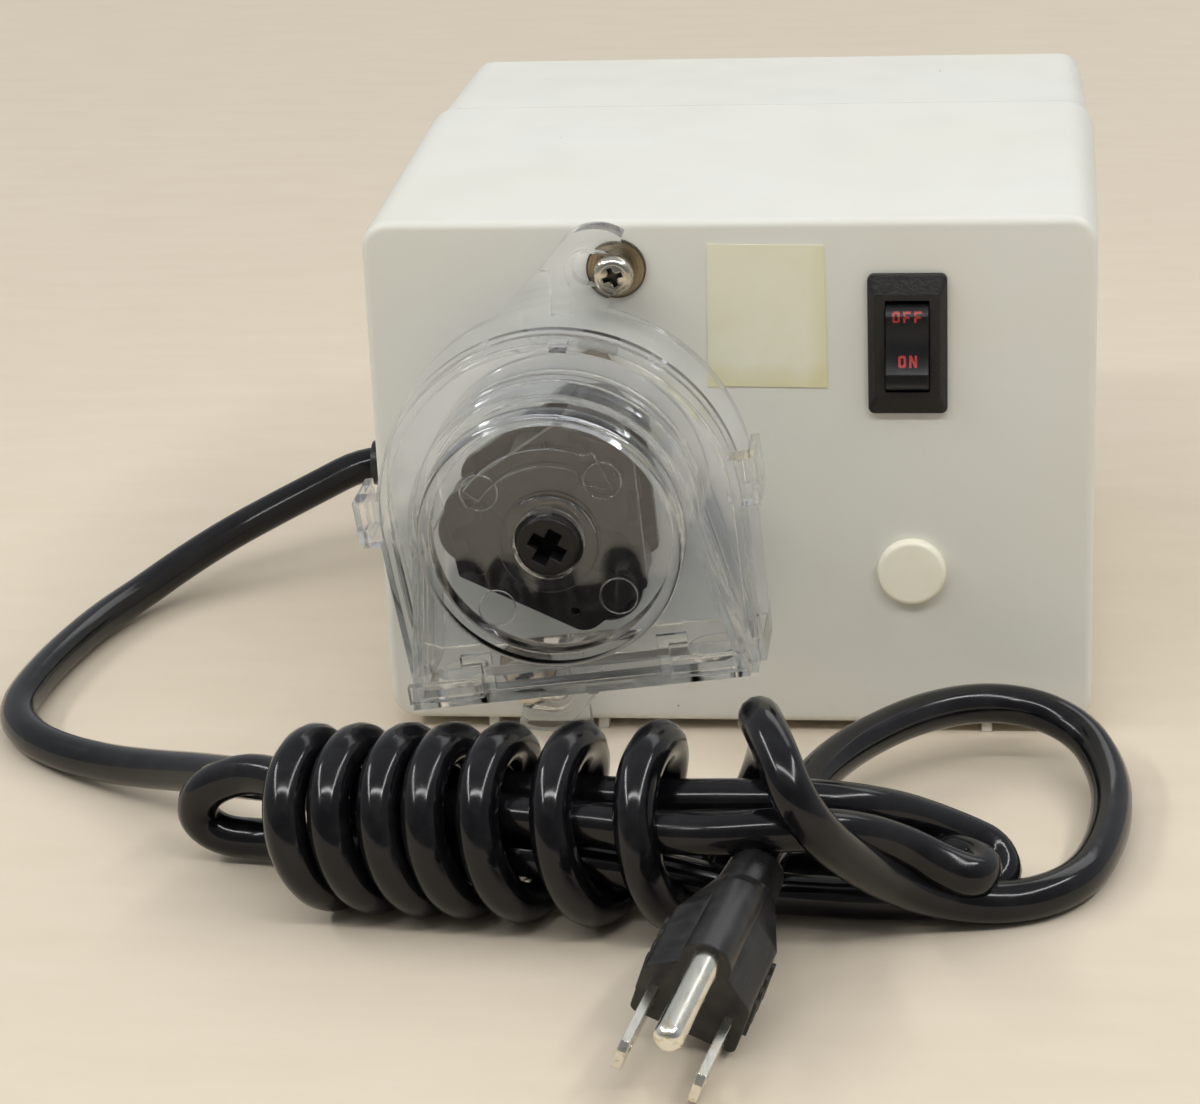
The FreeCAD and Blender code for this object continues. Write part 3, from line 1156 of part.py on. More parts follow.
def plug_body():
    half, top = PLUG_WIDTH / 2, PLUG_RIDGE_TOP
    tail_half, tail_low = PLUG_TAIL_RADIUS, PLUG_TAIL_RADIUS - PLUG_MIDDLE
    face = plug_outline(half, PLUG_LOW, PLUG_SHOULDER, PLUG_SLOPE, PLUG_SLOPE_TOP, 0)
    waist = plug_outline(half - 0.2, PLUG_LOW, PLUG_SHOULDER, PLUG_SLOPE, PLUG_SLOPE_TOP, -PLUG_WAIST)
    tail = plug_outline(tail_half, tail_low, PLUG_SHOULDER, PLUG_SLOPE - 1.4, PLUG_SLOPE_TOP - 0.8,
                        -PLUG_BODY)
    deep = top - 2.0
    ridge_face = rounded(PLUG_RIDGE, deep, PLUG_RIDGE / 2 - 0.05, 0, top - deep / 2)
    ridge_end = rounded(PLUG_RIDGE - 0.6, deep - 1.0, PLUG_RIDGE / 2 - 0.4, -PLUG_RIDGE_LENGTH,
                        top - 1.0 - (deep - 1.0) / 2)
    ridge_foot = rounded(PLUG_RIDGE - 1.6, deep - 7.0, PLUG_RIDGE / 2 - 1.0, -PLUG_BODY,
                         top - PLUG_RIDGE_DROP - (deep - 7.0) / 2)
    sleeve = Part.makeCone(PLUG_TAIL_RADIUS, PLUG_TAIL_RADIUS - 0.7, PLUG_TAIL_LENGTH + 1,
                           Vector(0, PLUG_MIDDLE, -PLUG_BODY + 1), Vector(0, 0, -1))
    return fuse(
        Part.makeLoft([face, waist], True, True),
        Part.makeLoft([waist, tail], True, True),
        Part.makeLoft([ridge_face, ridge_end], True, True),
        Part.makeLoft([ridge_end, ridge_foot], True, True),
        sleeve,
        *plug_ribs(),
    )


def plug_blades():
    blades = []
    for side in (-1, 1):
        x = side * BLADE_PITCH / 2
        blade = block(x - BLADE_THICK / 2, x + BLADE_THICK / 2, -BLADE_WIDTH / 2, BLADE_WIDTH / 2, 0,
                      BLADE_LENGTH)
        blade = blade.makeChamfer(BLADE_TIP, [e for e in blade.Edges if lies_at(BLADE_LENGTH)(e)
                                              and e.BoundBox.YLength < 0.01])
        hole = Part.makeCylinder(1.5, 9, Vector(x - 4, 0, BLADE_LENGTH - 4.5), Vector(1, 0, 0))
        blades.append(blade.cut(hole))
    return blades


def ground_pin():
    pin = disc(GROUND_PIN_RADIUS, 0, GROUND_PIN_LENGTH, 0, GROUND_PIN_RISE)
    return round_edges(pin, GROUND_PIN_RADIUS - 0.4, lies_at(GROUND_PIN_LENGTH))


save("plug_body", on_plug(plug_body()))
save("plug_blades", *[on_plug(blade) for blade in plug_blades()])
save("plug_ground_pin", on_plug(ground_pin()))
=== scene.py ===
import math
import bmesh
import bpy
from mathutils import Matrix, Vector
from mathutils.bvhtree import BVHTree


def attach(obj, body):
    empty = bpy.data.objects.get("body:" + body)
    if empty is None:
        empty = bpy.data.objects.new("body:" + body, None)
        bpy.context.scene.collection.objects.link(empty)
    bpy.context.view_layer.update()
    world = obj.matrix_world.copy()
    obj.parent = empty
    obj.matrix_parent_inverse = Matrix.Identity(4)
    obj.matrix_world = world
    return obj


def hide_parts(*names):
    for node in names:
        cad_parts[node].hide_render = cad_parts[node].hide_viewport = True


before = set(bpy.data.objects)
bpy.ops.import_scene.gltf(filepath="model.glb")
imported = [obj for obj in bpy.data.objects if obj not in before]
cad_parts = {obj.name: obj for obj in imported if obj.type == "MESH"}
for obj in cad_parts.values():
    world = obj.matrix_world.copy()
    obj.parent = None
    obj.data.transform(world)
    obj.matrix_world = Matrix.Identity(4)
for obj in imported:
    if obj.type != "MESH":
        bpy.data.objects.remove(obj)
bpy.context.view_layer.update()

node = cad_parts


# Photograph's view: a 95 mm lens about 0.6 m in front of the pump, above it and a little to the right,
# looking down at it. The frame is 1200 by 1104, so the height follows from the width.
LENS = 95.1
CAMERA_PLACE = Vector((0.0496, -0.6069, 0.2551))
YAW, PITCH, ROLL = math.radians(7.66), math.radians(21.18), math.radians(-2.53)

ahead = Vector((-math.sin(YAW) * math.cos(PITCH), math.cos(YAW) * math.cos(PITCH), -math.sin(PITCH)))
level = Vector((math.cos(YAW), math.sin(YAW), 0.0))
upward = level.cross(ahead)
right = math.cos(ROLL) * level + math.sin(ROLL) * upward
top = math.cos(ROLL) * upward - math.sin(ROLL) * level
lens = bpy.data.cameras.new("photo_camera")
lens.lens, lens.sensor_width, lens.clip_start = LENS, 36.0, 0.02
camera = bpy.data.objects.new("photo_camera", lens)
bpy.context.collection.objects.link(camera)
camera.matrix_world = Matrix((
    (right.x, top.x, -ahead.x, CAMERA_PLACE.x),
    (right.y, top.y, -ahead.y, CAMERA_PLACE.y),
    (right.z, top.z, -ahead.z, CAMERA_PLACE.z),
    (0.0, 0.0, 0.0, 1.0),
))
bpy.context.scene.camera = camera
bpy.context.scene.view_settings.view_transform = "Standard"


# Case: two ivory ABS shells, moulded with a fine matt texture. The ends of their drafted sides meet
# at a seam behind the middle, and four screws from the back hold them together.
class Field:
    """A shader socket that takes part in Python sums. Each sum adds a Math node."""

    def __init__(self, tree, socket):
        self.tree = tree
        self.socket = socket

    def node(self, kind, settings=None, **inputs):
        """Add a node, set its own settings first, then feed its sockets, i0 and i1 by their order."""
        made = self.tree.nodes.new(kind)
        for key, value in (settings or {}).items():
            setattr(made, key, value)
        for key, value in inputs.items():
            name = int(key[1:]) if key[0] == "i" and key[1:].isdigit() else key.replace("_", " ")
            self.feed(made.inputs[name], value)
        return made

    def feed(self, socket, value):
        if isinstance(value, Field):
            self.tree.links.new(value.socket, socket)
        else:
            socket.default_value = value

    def out(self, made, name=0):
        return Field(self.tree, made.outputs[name])

    def sum(self, operation, first, second):
        return self.out(self.node("ShaderNodeMath", {"operation": operation}, i0=first, i1=second))

    def __add__(self, other):
        return self.sum("ADD", self, other)

    def __sub__(self, other):
        return self.sum("SUBTRACT", self, other)

    def __mul__(self, other):
        return self.sum("MULTIPLY", self, other)

    def __truediv__(self, other):
        return self.sum("DIVIDE", self, other)

    def __pow__(self, other):
        return self.sum("POWER", self, other)

    def __gt__(self, other):
        return self.sum("GREATER_THAN", self, other)

    def __lt__(self, other):
        return self.sum("LESS_THAN", self, other)

    __rmul__ = __mul__


class Finish:
    """A material with one Principled shader, whose varying sockets are fed by fields."""

    def __init__(self, name, **fixed):
        self.material = bpy.data.materials.new(name)
        self.material.use_nodes = True
        self.tree = self.material.node_tree
        self.shader = self.tree.nodes["Principled BSDF"]
        self.start = Field(self.tree, None)
        for key, value in fixed.items():
            self.shader.inputs[key.replace("_", " ")].default_value = value

    def node(self, kind, settings=None, **inputs):
        return self.start.node(kind, settings, **inputs)

    def place(self):
        """Where a point is on its piece, in metres, before any pose."""
        return self.start.out(self.node("ShaderNodeTexCoord"), "Object")

    def axes(self, vector):
        parts = self.node("ShaderNodeSeparateXYZ", Vector=vector)
        return [self.start.out(parts, index) for index in range(3)]

    def stretched(self, vector, x, y, z):
        """The same place with each axis scaled, for grain that runs one way."""
        made = self.node("ShaderNodeMapping", None, Vector=vector, Scale=(x, y, z))
        return self.start.out(made)

    def noise(self, vector, scale, detail=2.0, rough=0.5):
        made = self.node("ShaderNodeTexNoise", None, Vector=vector, Scale=scale, Detail=detail,
                         Roughness=rough)
        return self.start.out(made, "Fac")

    def ramp(self, value, low, high, start=0.0, end=1.0):
        """Turn one stretch of a value into another, held flat past its ends."""
        made = self.node("ShaderNodeMapRange", {"clamp": True}, Value=value)
        for name, number in (("From Min", low), ("From Max", high), ("To Min", start), ("To Max", end)):
            made.inputs[name].default_value = number
        return self.start.out(made, "Result")

    def blend(self, factor, first, second):
        """Mix two colours."""
        made = self.node("ShaderNodeMix", {"data_type": "RGBA"})
        self.start.feed(made.inputs["Factor"], factor)
        for name, colour in (("A", first), ("B", second)):
            socket = next(s for s in made.inputs if s.name == name and s.type == "RGBA")
            self.start.feed(socket, colour if isinstance(colour, Field) else (*colour, 1.0))
        return Field(self.tree, next(s for s in made.outputs if s.type == "RGBA"))

    def bump(self, height, strength, distance, edge=0.0):
        """Relief from a height, over edges that a small radius softens."""
        made = self.node("ShaderNodeBump", None, Height=height, Strength=strength, Distance=distance)
        if edge:
            soft = self.node("ShaderNodeBevel", {"samples": 4}, Radius=edge)
            self.start.feed(made.inputs["Normal"], self.start.out(soft))
        self.start.feed(self.shader.inputs["Normal"], self.start.out(made, "Normal"))

    def set(self, **varying):
        for key, value in varying.items():
            self.start.feed(self.shader.inputs[key.replace("_", " ")], value)


def wear(finish, *names):
    """Give nodes of the frame, or pieces, their finish."""
    for name in names:
        piece = node[name] if isinstance(name, str) else name
        piece.data.materials.clear()
        piece.data.materials.append(finish.material)


IVORY = (0.750, 0.748, 0.688)
IVORY_AGED = (0.725, 0.708, 0.600)
IVORY_SOILED = (0.56, 0.53, 0.45)
SPECK = (0.16, 0.14, 0.11)
SOIL_STARTS, SOIL_FULL, SOIL_RAGGED = 0.012, 0.004, 0.006
shell = Finish("ivory_shell", Roughness=0.42, Specular_IOR_Level=0.45)
place = shell.place()
height = shell.axes(place)[2] + SOIL_RAGGED * shell.noise(place, 120.0, 4.0)
cloud = shell.noise(place, 26.0, 3.0)
dots = shell.node("ShaderNodeTexVoronoi", None, Vector=place, Scale=70.0)
speck = shell.ramp(shell.start.out(dots, "Distance"), 0.026, 0.012, 0.0, 0.8)
tone = shell.blend(shell.ramp(cloud, 0.35, 0.75, 0.0, 0.55), IVORY, IVORY_AGED)
tone = shell.blend(shell.ramp(height, SOIL_STARTS, SOIL_FULL, 0.0, 0.35), tone, IVORY_SOILED)
tone = shell.blend(speck, tone, SPECK)
shell.set(Base_Color=tone, Roughness=shell.ramp(shell.noise(place, 90.0, 2.0), 0.3, 0.7, 0.36, 0.5))
shell.bump(shell.noise(place, 2400.0, 2.0), 0.16, 0.0001, 0.0006)
wear(shell, "front_shell", "rear_shell")


# Case screws: four long self-tapping steel screws, sunk in the back of the rear shell. Their zinc
# plating has a cloudy bloom, and so has that of the gearmotor's plate, brackets and screws.
zinc = Finish("zinc_plate", Metallic=1.0, Roughness=0.38)
place = zinc.place()
bloom = zinc.noise(place, 300.0, 4.0)
zinc.set(Base_Color=zinc.blend(bloom, (0.50, 0.50, 0.47), (0.66, 0.66, 0.64)),
         Roughness=zinc.ramp(bloom, 0.3, 0.7, 0.28, 0.46))
zinc.bump(zinc.noise(place, 1500.0, 2.0), 0.2, 0.00005, 0.0002)
wear(zinc, "case_screws", "mount_plate", "gearbox_screws", "motor_bracket_front",
     "motor_bracket_rear", "motor_screws")


# Hole plug: a snap-in cap of softer plastic that has yellowed more than the case. It closes the hole
# for a second control, and four springy legs behind it hold it in the front wall.
cap = Finish("aged_cap", Roughness=0.33, Specular_IOR_Level=0.5)
place = cap.place()
shade = cap.noise(place, 160.0, 3.0)
cap.set(Base_Color=cap.blend(cap.ramp(shade, 0.3, 0.7), (0.94, 0.92, 0.76), (0.92, 0.88, 0.70)),
        Roughness=cap.ramp(shade, 0.3, 0.7, 0.28, 0.4))
cap.bump(cap.noise(place, 900.0, 2.0), 0.1, 0.0001, 0.0005)
wear(cap, "hole_plug")


# Label: a bare rectangle of clear film stuck on the front, to the right of the upper screw. Its glue
# has yellowed, most of all along the edges, where the film lifts a little.
LABEL_LEFT, LABEL_RIGHT, LABEL_LOW = -0.0036, 0.0183, 0.0703
film = Finish("yellowed_film", Roughness=0.34, Specular_IOR_Level=0.5)
place = film.place()
x, _, z = film.axes(place)
ripple = film.noise(place, 130.0, 3.0)
border = (
    film.ramp(x + 0.0012 * ripple, LABEL_LEFT + 0.0016, LABEL_LEFT - 0.0004, 0.0, 0.6)
    + film.ramp(x - 0.0025 * ripple, LABEL_RIGHT - 0.0046, LABEL_RIGHT - 0.0004, 0.0, 1.0)
    + film.ramp(z - 0.004 * ripple, LABEL_LOW + 0.0034, LABEL_LOW - 0.0018, 0.0, 1.2)
)
stain = film.blend(film.ramp(ripple, 0.3, 0.75), (0.82, 0.81, 0.65), (0.79, 0.77, 0.57))
film.set(Base_Color=film.blend(film.ramp(border, 0.0, 1.4, 0.0, 0.85), stain, (0.70, 0.65, 0.36)))
film.bump(film.noise(place, 260.0, 2.0), 0.25, 0.0002)
wear(film, "front_label")


# Rocker switch: a black bezel with a coarse moulded grain, snapped into the front, and a glossy
# curved rocker that tilts in it. Two flat terminals stand out behind.
bezel = Finish("switch_bezel", Roughness=0.45, Specular_IOR_Level=0.42)
place = bezel.place()
grain = bezel.noise(place, 1500.0, 3.0, 0.6)
bezel.set(Base_Color=bezel.blend(grain, (0.008, 0.0075, 0.007), (0.018, 0.017, 0.015)),
          Roughness=bezel.ramp(grain, 0.3, 0.7, 0.34, 0.56))
bezel.bump(grain, 0.7, 0.00022, 0.0004)
wear(bezel, "switch_body", "relief_nut")

gloss = Finish("rocker_gloss", Roughness=0.34, Specular_IOR_Level=0.3)
place = gloss.place()
rub = gloss.noise(place, 420.0, 4.0, 0.6)
gloss.set(Base_Color=gloss.blend(rub, (0.006, 0.006, 0.007), (0.014, 0.014, 0.016)),
          Roughness=gloss.ramp(rub, 0.35, 0.7, 0.3, 0.42))
gloss.bump(gloss.noise(place, 700.0, 2.0), 0.06, 0.0001, 0.0003)
wear(gloss, "switch_rocker")


# Rocker lettering: OFF above and ON below, printed in red on the curved rocker in square block letters.
# Each letter is a thin skin of ink laid on the plastic, so it bends with it and tilts with it.
INK_RISE = 0.00004
AHEAD_OF_ROCKER = -0.09
LETTER_WIDE, LETTER_HIGH, LETTER_GAP = 0.0014, 0.00205, 0.00058
LETTERS = {
    "O": [[(0.2, 0), (0.8, 0), (1, 0.13), (1, 0.87), (0.8, 1), (0.2, 1), (0, 0.87), (0, 0.13)],
          [(0.42, 0.2), (0.58, 0.2), (0.69, 0.27), (0.69, 0.73), (0.58, 0.8), (0.42, 0.8),
           (0.31, 0.73), (0.31, 0.27)]],
    "F": [[(0, 0), (0.31, 0), (0.31, 0.4), (0.86, 0.4), (0.86, 0.6), (0.31, 0.6), (0.31, 0.81),
           (1, 0.81), (1, 1), (0, 1)]],
    "N": [[(0, 0), (0.3, 0), (0.3, 0.6), (0.7, 0), (1, 0), (1, 1), (0.7, 1), (0.7, 0.42), (0.3, 1),
           (0, 1)]],
}
LETTERING = (("OFF", 0.0332, 0.0847), ("ON", 0.0333, 0.0766))
ink = Finish("red_ink", Roughness=0.4)
place = ink.place()
worn = ink.noise(place, 2600.0, 3.0, 0.6)
ink.set(Base_Color=ink.blend(ink.ramp(worn, 0.45, 0.75), (0.44, 0.035, 0.03), (0.15, 0.018, 0.016)))
ink.bump(worn, 0.1, 0.00005)


def meshed(name, drawing):
    """Turn a curve into a plain mesh."""
    drawer = bpy.data.objects.new(name, drawing)
    mesh = bpy.data.meshes.new_from_object(drawer)
    bpy.data.objects.remove(drawer)
    mesh.name = name
    return mesh


def add_piece(mesh, finish, body):
    """Put a mesh in the scene as a piece of its own that moves with a body."""
    piece = bpy.data.objects.new(mesh.name, mesh)
    bpy.context.collection.objects.link(piece)
    wear(finish, piece)
    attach(piece, body)


rocker_hull = bmesh.new()
rocker_hull.from_mesh(node["switch_rocker"].data)
rocker_tree = BVHTree.FromBMesh(rocker_hull)
rocker_hull.free()
for word, middle, height in LETTERING:
    writing = bpy.data.curves.new("word", "CURVE")
    writing.dimensions, writing.fill_mode = "2D", "BOTH"
    pitch = LETTER_WIDE + LETTER_GAP
    for index, letter in enumerate(word):
        left = (index - (len(word) - 1) / 2) * pitch - LETTER_WIDE / 2
        for edge in LETTERS[letter]:
            stroke = writing.splines.new("POLY")
            stroke.points.add(len(edge) - 1)
            stroke.use_cyclic_u = True
            for point, (across, up) in zip(stroke.points, edge):
                point.co = (left + across * LETTER_WIDE, (up - 0.5) * LETTER_HIGH, 0.0, 1.0)
    flat = meshed("rocker_word_" + word.lower(), writing)
    skin = bmesh.new()
    skin.from_mesh(flat)
    bmesh.ops.triangulate(skin, faces=skin.faces)
    bmesh.ops.subdivide_edges(skin, edges=skin.edges, cuts=3, use_grid_fill=True)
    for vert in skin.verts:
        start = Vector((middle + vert.co.x, AHEAD_OF_ROCKER, height + vert.co.y))
        surface = rocker_tree.ray_cast(start, Vector((0, 1, 0)))[0]
        vert.co = surface + Vector((0, -INK_RISE, 0))
    bmesh.ops.recalc_face_normals(skin, faces=skin.faces)
    if sum(face.normal.y for face in skin.faces) > 0:
        bmesh.ops.reverse_faces(skin, faces=skin.faces)
    skin.to_mesh(flat)
    skin.free()
    add_piece(flat, ink, "rocker")


# Head screws: nickel-plated pan heads on thick washers and turned sleeves. They hold the gearbox's
# plate to the front, and the head's two hooks lock round their sleeves.
SCREWS = ((-0.01992, 0.09342), (-0.03968, 0.01178))
SCREW_FLAT, SCREW_DOME = 0.0023, 0.0065
RECESS_DEEP, RECESS_REACH = 0.00025, 0.0021
WASHER_RIM, WASHER_BLACK = 0.0050, 0.0054


def off_axis(finish, place):
    """How far a point is from the axis of the screw beside it, squared, and how far back it is."""
    x, y, z = finish.axes(place)
    ways = [(x - across) ** 2.0 + (z - up) ** 2.0 for across, up in SCREWS]
    return ways[0].sum("MINIMUM", *ways), y


nickel = Finish("nickel_plate", Metallic=1.0, Roughness=0.2)
place = nickel.place()
far, back = off_axis(nickel, place)
tarnish = nickel.noise(place, 420.0, 4.0, 0.6)
ragged = nickel.noise(place, 1500.0, 3.0, 0.7)
screw_face = min(vert.co.y for vert in node["head_screws"].data.vertices)
# The cross recess and a ragged patch round each screw's axis are painted near black: painted shade in the
# recess, with some grime. The same mask also makes the plating rougher there.
recess = (back > screw_face + RECESS_DEEP) * (far < RECESS_REACH ** 2)
recess_shade_and_grime = nickel.ramp(far * 1e6 + 2.2 * ragged, 2.6, 1.9)
recess_shade_and_grime = recess_shade_and_grime.sum("MAXIMUM", recess_shade_and_grime, recess)
metal = nickel.blend(nickel.ramp(tarnish, 0.35, 0.7), (0.66, 0.63, 0.56), (0.50, 0.45, 0.36))
nickel.set(Base_Color=nickel.blend(recess_shade_and_grime * 0.9, metal, (0.035, 0.030, 0.024)),
           Roughness=nickel.ramp(tarnish, 0.3, 0.7, 0.16, 0.3) + 0.3 * recess_shade_and_grime)
dome = far.sum("MINIMUM", far, SCREW_FLAT ** 2) / (-2 * SCREW_DOME)
nickel.bump(dome + 0.00001 * ragged, 1.0, 1.0, 0.0003)
wear(nickel, "head_screws", "head_sleeves", "roller_axles")

washer = Finish("turned_washer", Metallic=1.0, Roughness=0.3)
place = washer.place()
out = off_axis(washer, place)[0] ** 0.5
lathe = washer.node("ShaderNodeTexNoise", {"noise_dimensions": "1D"}, W=out, Scale=5200.0, Detail=2.0)
grooves = washer.start.out(lathe)
metal = washer.blend(grooves, (0.42, 0.35, 0.24), (0.25, 0.20, 0.13))
washer.set(Base_Color=washer.blend(washer.ramp(out, WASHER_RIM, WASHER_BLACK), metal,
                                   (0.07, 0.06, 0.045)),
           Roughness=washer.ramp(grooves, 0.3, 0.7, 0.22, 0.4))
washer.bump(grooves, 0.5, 0.00008, 0.0002)
wear(washer, "head_washers")


# Pump head: a moulded housing with two hooks, and the cover that snaps on it. Both are clear
# polycarbonate with a little flow ripple, and lamps shine through them on the case.
clear = Finish("clear_head", Base_Color=(0.96, 0.97, 0.985, 1.0), Transmission_Weight=1.0, IOR=1.36,
               Coat_Weight=0.6, Coat_Roughness=0.04, Coat_IOR=1.56)
place = clear.place()
flow = clear.noise(place, 70.0, 2.0)
clear.set(Roughness=clear.ramp(clear.noise(place, 240.0, 3.0), 0.35, 0.75, 0.015, 0.07))
clear.bump(flow, 0.12, 0.0006, 0.00035)
through = clear.start.out(clear.node("ShaderNodeBsdfTransparent", None, Color=(0.9, 0.9, 0.9, 1.0)))
lamp_ray = clear.start.out(clear.node("ShaderNodeLightPath"), "Is Shadow Ray")
glass = clear.start.out(clear.shader)
pass_on = clear.node("ShaderNodeMixShader", None, i0=lamp_ray, i1=glass, i2=through)
clear.start.feed(clear.tree.nodes["Material Output"].inputs["Surface"], clear.start.out(pass_on))
wear(clear, "head_housing", "head_cover")


# Moulding marks on the cover's disc: four round ejector marks and an arrow for the way it turns,
# both fine raised lines of the same clear plastic, in one piece with the cover.
AXIS = Vector((-0.0298, -0.05, 0.0526))
HEAD_TURN = math.radians(6.9)
DISC_FACE = 0.035
MARK_RADIUS = 0.0034
MARK_LINE = 0.00016
MARKS = ((-0.0109, 0.0110), (0.0115, 0.0106), (0.0110, -0.0114), (-0.0113, -0.0112))
BAND_OUT, BAND_IN, BAND_START, BAND_END = 0.0179, 0.0146, 139.6, 61.0
BAND_STEPS = 24
ARROW_HEAD = ((0.0106, 0.0159), (0.0131, 0.00865), (0.0072, 0.0105))


def on_disc(across, up):
    """A place on the cover's disc, in the head's own turned axes."""
    turned = Matrix.Rotation(-HEAD_TURN, 3, "Y") @ Vector((across, 0, up))
    return AXIS + turned - Vector((0, DISC_FACE, 0))


def length_socket(tree, name, value):
    """Give a node tree an input for a length."""
    made = tree.interface.new_socket(name=name, in_out="INPUT", socket_type="NodeSocketFloat")
    made.default_value = value
    return made.identifier


def band(radius, start, end):
    """Places along one edge of the arrow's round band, between two angles."""
    angles = [math.radians(start + (end - start) * step / BAND_STEPS) for step in range(BAND_STEPS + 1)]
    return [(radius * math.cos(angle), radius * math.sin(angle)) for angle in angles]


rings = bpy.data.node_groups.new("ejector_rings", "GeometryNodeTree")
rings.interface.new_socket(name="Geometry", in_out="INPUT", socket_type="NodeSocketGeometry")
rings.interface.new_socket(name="Geometry", in_out="OUTPUT", socket_type="NodeSocketGeometry")
ring_radius = length_socket(rings, "Ring radius", MARK_RADIUS)
line_radius = length_socket(rings, "Line radius", MARK_LINE)
entry = rings.nodes.new("NodeGroupInput")
leave = rings.nodes.new("NodeGroupOutput")
hoop = rings.nodes.new("GeometryNodeCurvePrimitiveCircle")
hoop.inputs["Resolution"].default_value = 48
profile = rings.nodes.new("GeometryNodeCurvePrimitiveCircle")
profile.inputs["Resolution"].default_value = 8
sweep = rings.nodes.new("GeometryNodeCurveToMesh")
lay = rings.nodes.new("GeometryNodeInstanceOnPoints")
lay.inputs["Rotation"].default_value = (math.pi / 2, 0.0, 0.0)
real = rings.nodes.new("GeometryNodeRealizeInstances")
coat = rings.nodes.new("GeometryNodeSetMaterial")
coat.inputs["Material"].default_value = clear.material
for start, end in (
    (entry.outputs["Ring radius"], hoop.inputs["Radius"]),
    (entry.outputs["Line radius"], profile.inputs["Radius"]),
    (hoop.outputs["Curve"], sweep.inputs["Curve"]),
    (profile.outputs["Curve"], sweep.inputs["Profile Curve"]),
    (entry.outputs["Geometry"], lay.inputs["Points"]),
    (sweep.outputs["Mesh"], lay.inputs["Instance"]),
    (lay.outputs["Instances"], real.inputs["Geometry"]),
    (real.outputs["Geometry"], coat.inputs["Geometry"]),
    (coat.outputs["Geometry"], leave.inputs["Geometry"]),
):
    rings.links.new(start, end)
spots = bpy.data.meshes.new("ejector_spots")
spots.from_pydata([tuple(on_disc(across, up)) for across, up in MARKS], [], [])
maker = bpy.data.objects.new("ejector_maker", spots)
bpy.context.collection.objects.link(maker)
modifier = maker.modifiers.new("grow", "NODES")
modifier.node_group = rings
modifier[ring_radius] = MARK_RADIUS
modifier[line_radius] = MARK_LINE
graph = bpy.context.evaluated_depsgraph_get()
marks = bpy.data.meshes.new_from_object(maker.evaluated_get(graph))
maker.modifiers.clear()
bpy.data.objects.remove(maker)
marks.name = "ejector_marks"
add_piece(marks, clear, "head_cover")

outline = [*band(BAND_OUT, BAND_START, BAND_END), *ARROW_HEAD, *band(BAND_IN, BAND_END, BAND_START)]
arrow = bpy.data.curves.new("turn_arrow", "CURVE")
arrow.dimensions = "3D"
arrow.bevel_depth, arrow.bevel_resolution = MARK_LINE, 2
line = arrow.splines.new("POLY")
line.points.add(len(outline) - 1)
line.use_cyclic_u = True
for point, (across, up) in zip(line.points, outline):
    point.co = (*on_disc(across, up), 1.0)
add_piece(meshed("turn_arrow", arrow), clear, "head_cover")


# Rotor: two lobed plates moulded in black acetal with three rollers between them, keyed to the drive
# shaft. Its faces are satin, and the walls of the cross recess in its hub are rougher and painted near
# black as painted shade.
CROSS_REACH, HUB_FACE_DEEP = 0.0036, 0.0003
acetal = Finish("black_acetal", Roughness=0.3, Specular_IOR_Level=0.25)
place = acetal.place()
x, y, z = acetal.axes(place)
hub_face = min(vert.co.y for vert in node["rotor_front"].data.vertices)
beside = (x - AXIS.x) ** 2.0 + (z - AXIS.z) ** 2.0
# Walls of the hub's cross recess: painted near black here as painted shade, and made rougher.
sunk = (y > hub_face + HUB_FACE_DEEP) * (beside < CROSS_REACH ** 2)
satin = acetal.noise(place, 90.0, 2.0)
satin_colour = acetal.blend(satin, (0.010, 0.009, 0.008), (0.021, 0.019, 0.017))
acetal.set(Base_Color=acetal.blend(sunk, satin_colour, (0.003, 0.003, 0.003)),
           Roughness=acetal.ramp(satin, 0.3, 0.7, 0.2, 0.36) + 0.6 * sunk)
acetal.bump(acetal.noise(place, 900.0, 2.0), 0.04, 0.0001, 0.0004)
wear(acetal, "rotor_back", "rotor_front", "roller_1", "roller_2", "roller_3")


# Drive shaft: ground steel with a black oxide skin. It carries the rotor in front and the output gear
# behind, and turns in the bronze bearing.
oxide = Finish("black_oxide", Metallic=1.0, Roughness=0.5)
place = oxide.place()
oil = oxide.noise(place, 300.0, 3.0)
oxide.set(Base_Color=oxide.blend(oil, (0.010, 0.010, 0.010), (0.028, 0.027, 0.025)),
          Roughness=oxide.ramp(oil, 0.3, 0.7, 0.6, 0.8))
oxide.bump(oil, 0.1, 0.00004, 0.0002)
wear(oxide, "drive_shaft")


# Gearmotor: a die-cast gearbox on a plated plate behind the front wall, a bronze bearing for the
# shaft, and a shaded-pole motor with a stacked stator and a taped coil bolted behind it.
bronze = Finish("sintered_bronze", Metallic=1.0, Roughness=0.4)
place = bronze.place()
pores = bronze.noise(place, 1800.0, 3.0, 0.7)
bronze.set(Base_Color=bronze.blend(pores, (0.52, 0.36, 0.18), (0.40, 0.27, 0.13)))
bronze.bump(pores, 0.4, 0.00006, 0.0002)
wear(bronze, "shaft_bushing")

cast = Finish("zinc_casting", Metallic=0.9, Roughness=0.5)
place = cast.place()
skin = cast.noise(place, 420.0, 4.0, 0.6)
cast.set(Base_Color=cast.blend(skin, (0.42, 0.42, 0.43), (0.56, 0.56, 0.56)),
         Roughness=cast.ramp(skin, 0.3, 0.7, 0.4, 0.62))
cast.bump(skin, 0.3, 0.00012, 0.0004)
wear(cast, "gearbox_housing", "gearbox_cover")

natural = Finish("natural_acetal", Roughness=0.36)
place = natural.place()
cloud = natural.noise(place, 120.0, 3.0)
natural.set(Base_Color=natural.blend(cloud, (0.78, 0.77, 0.72), (0.70, 0.69, 0.63)))
natural.bump(natural.noise(place, 1200.0, 2.0), 0.1, 0.00006, 0.0002)
wear(natural, "output_gear")

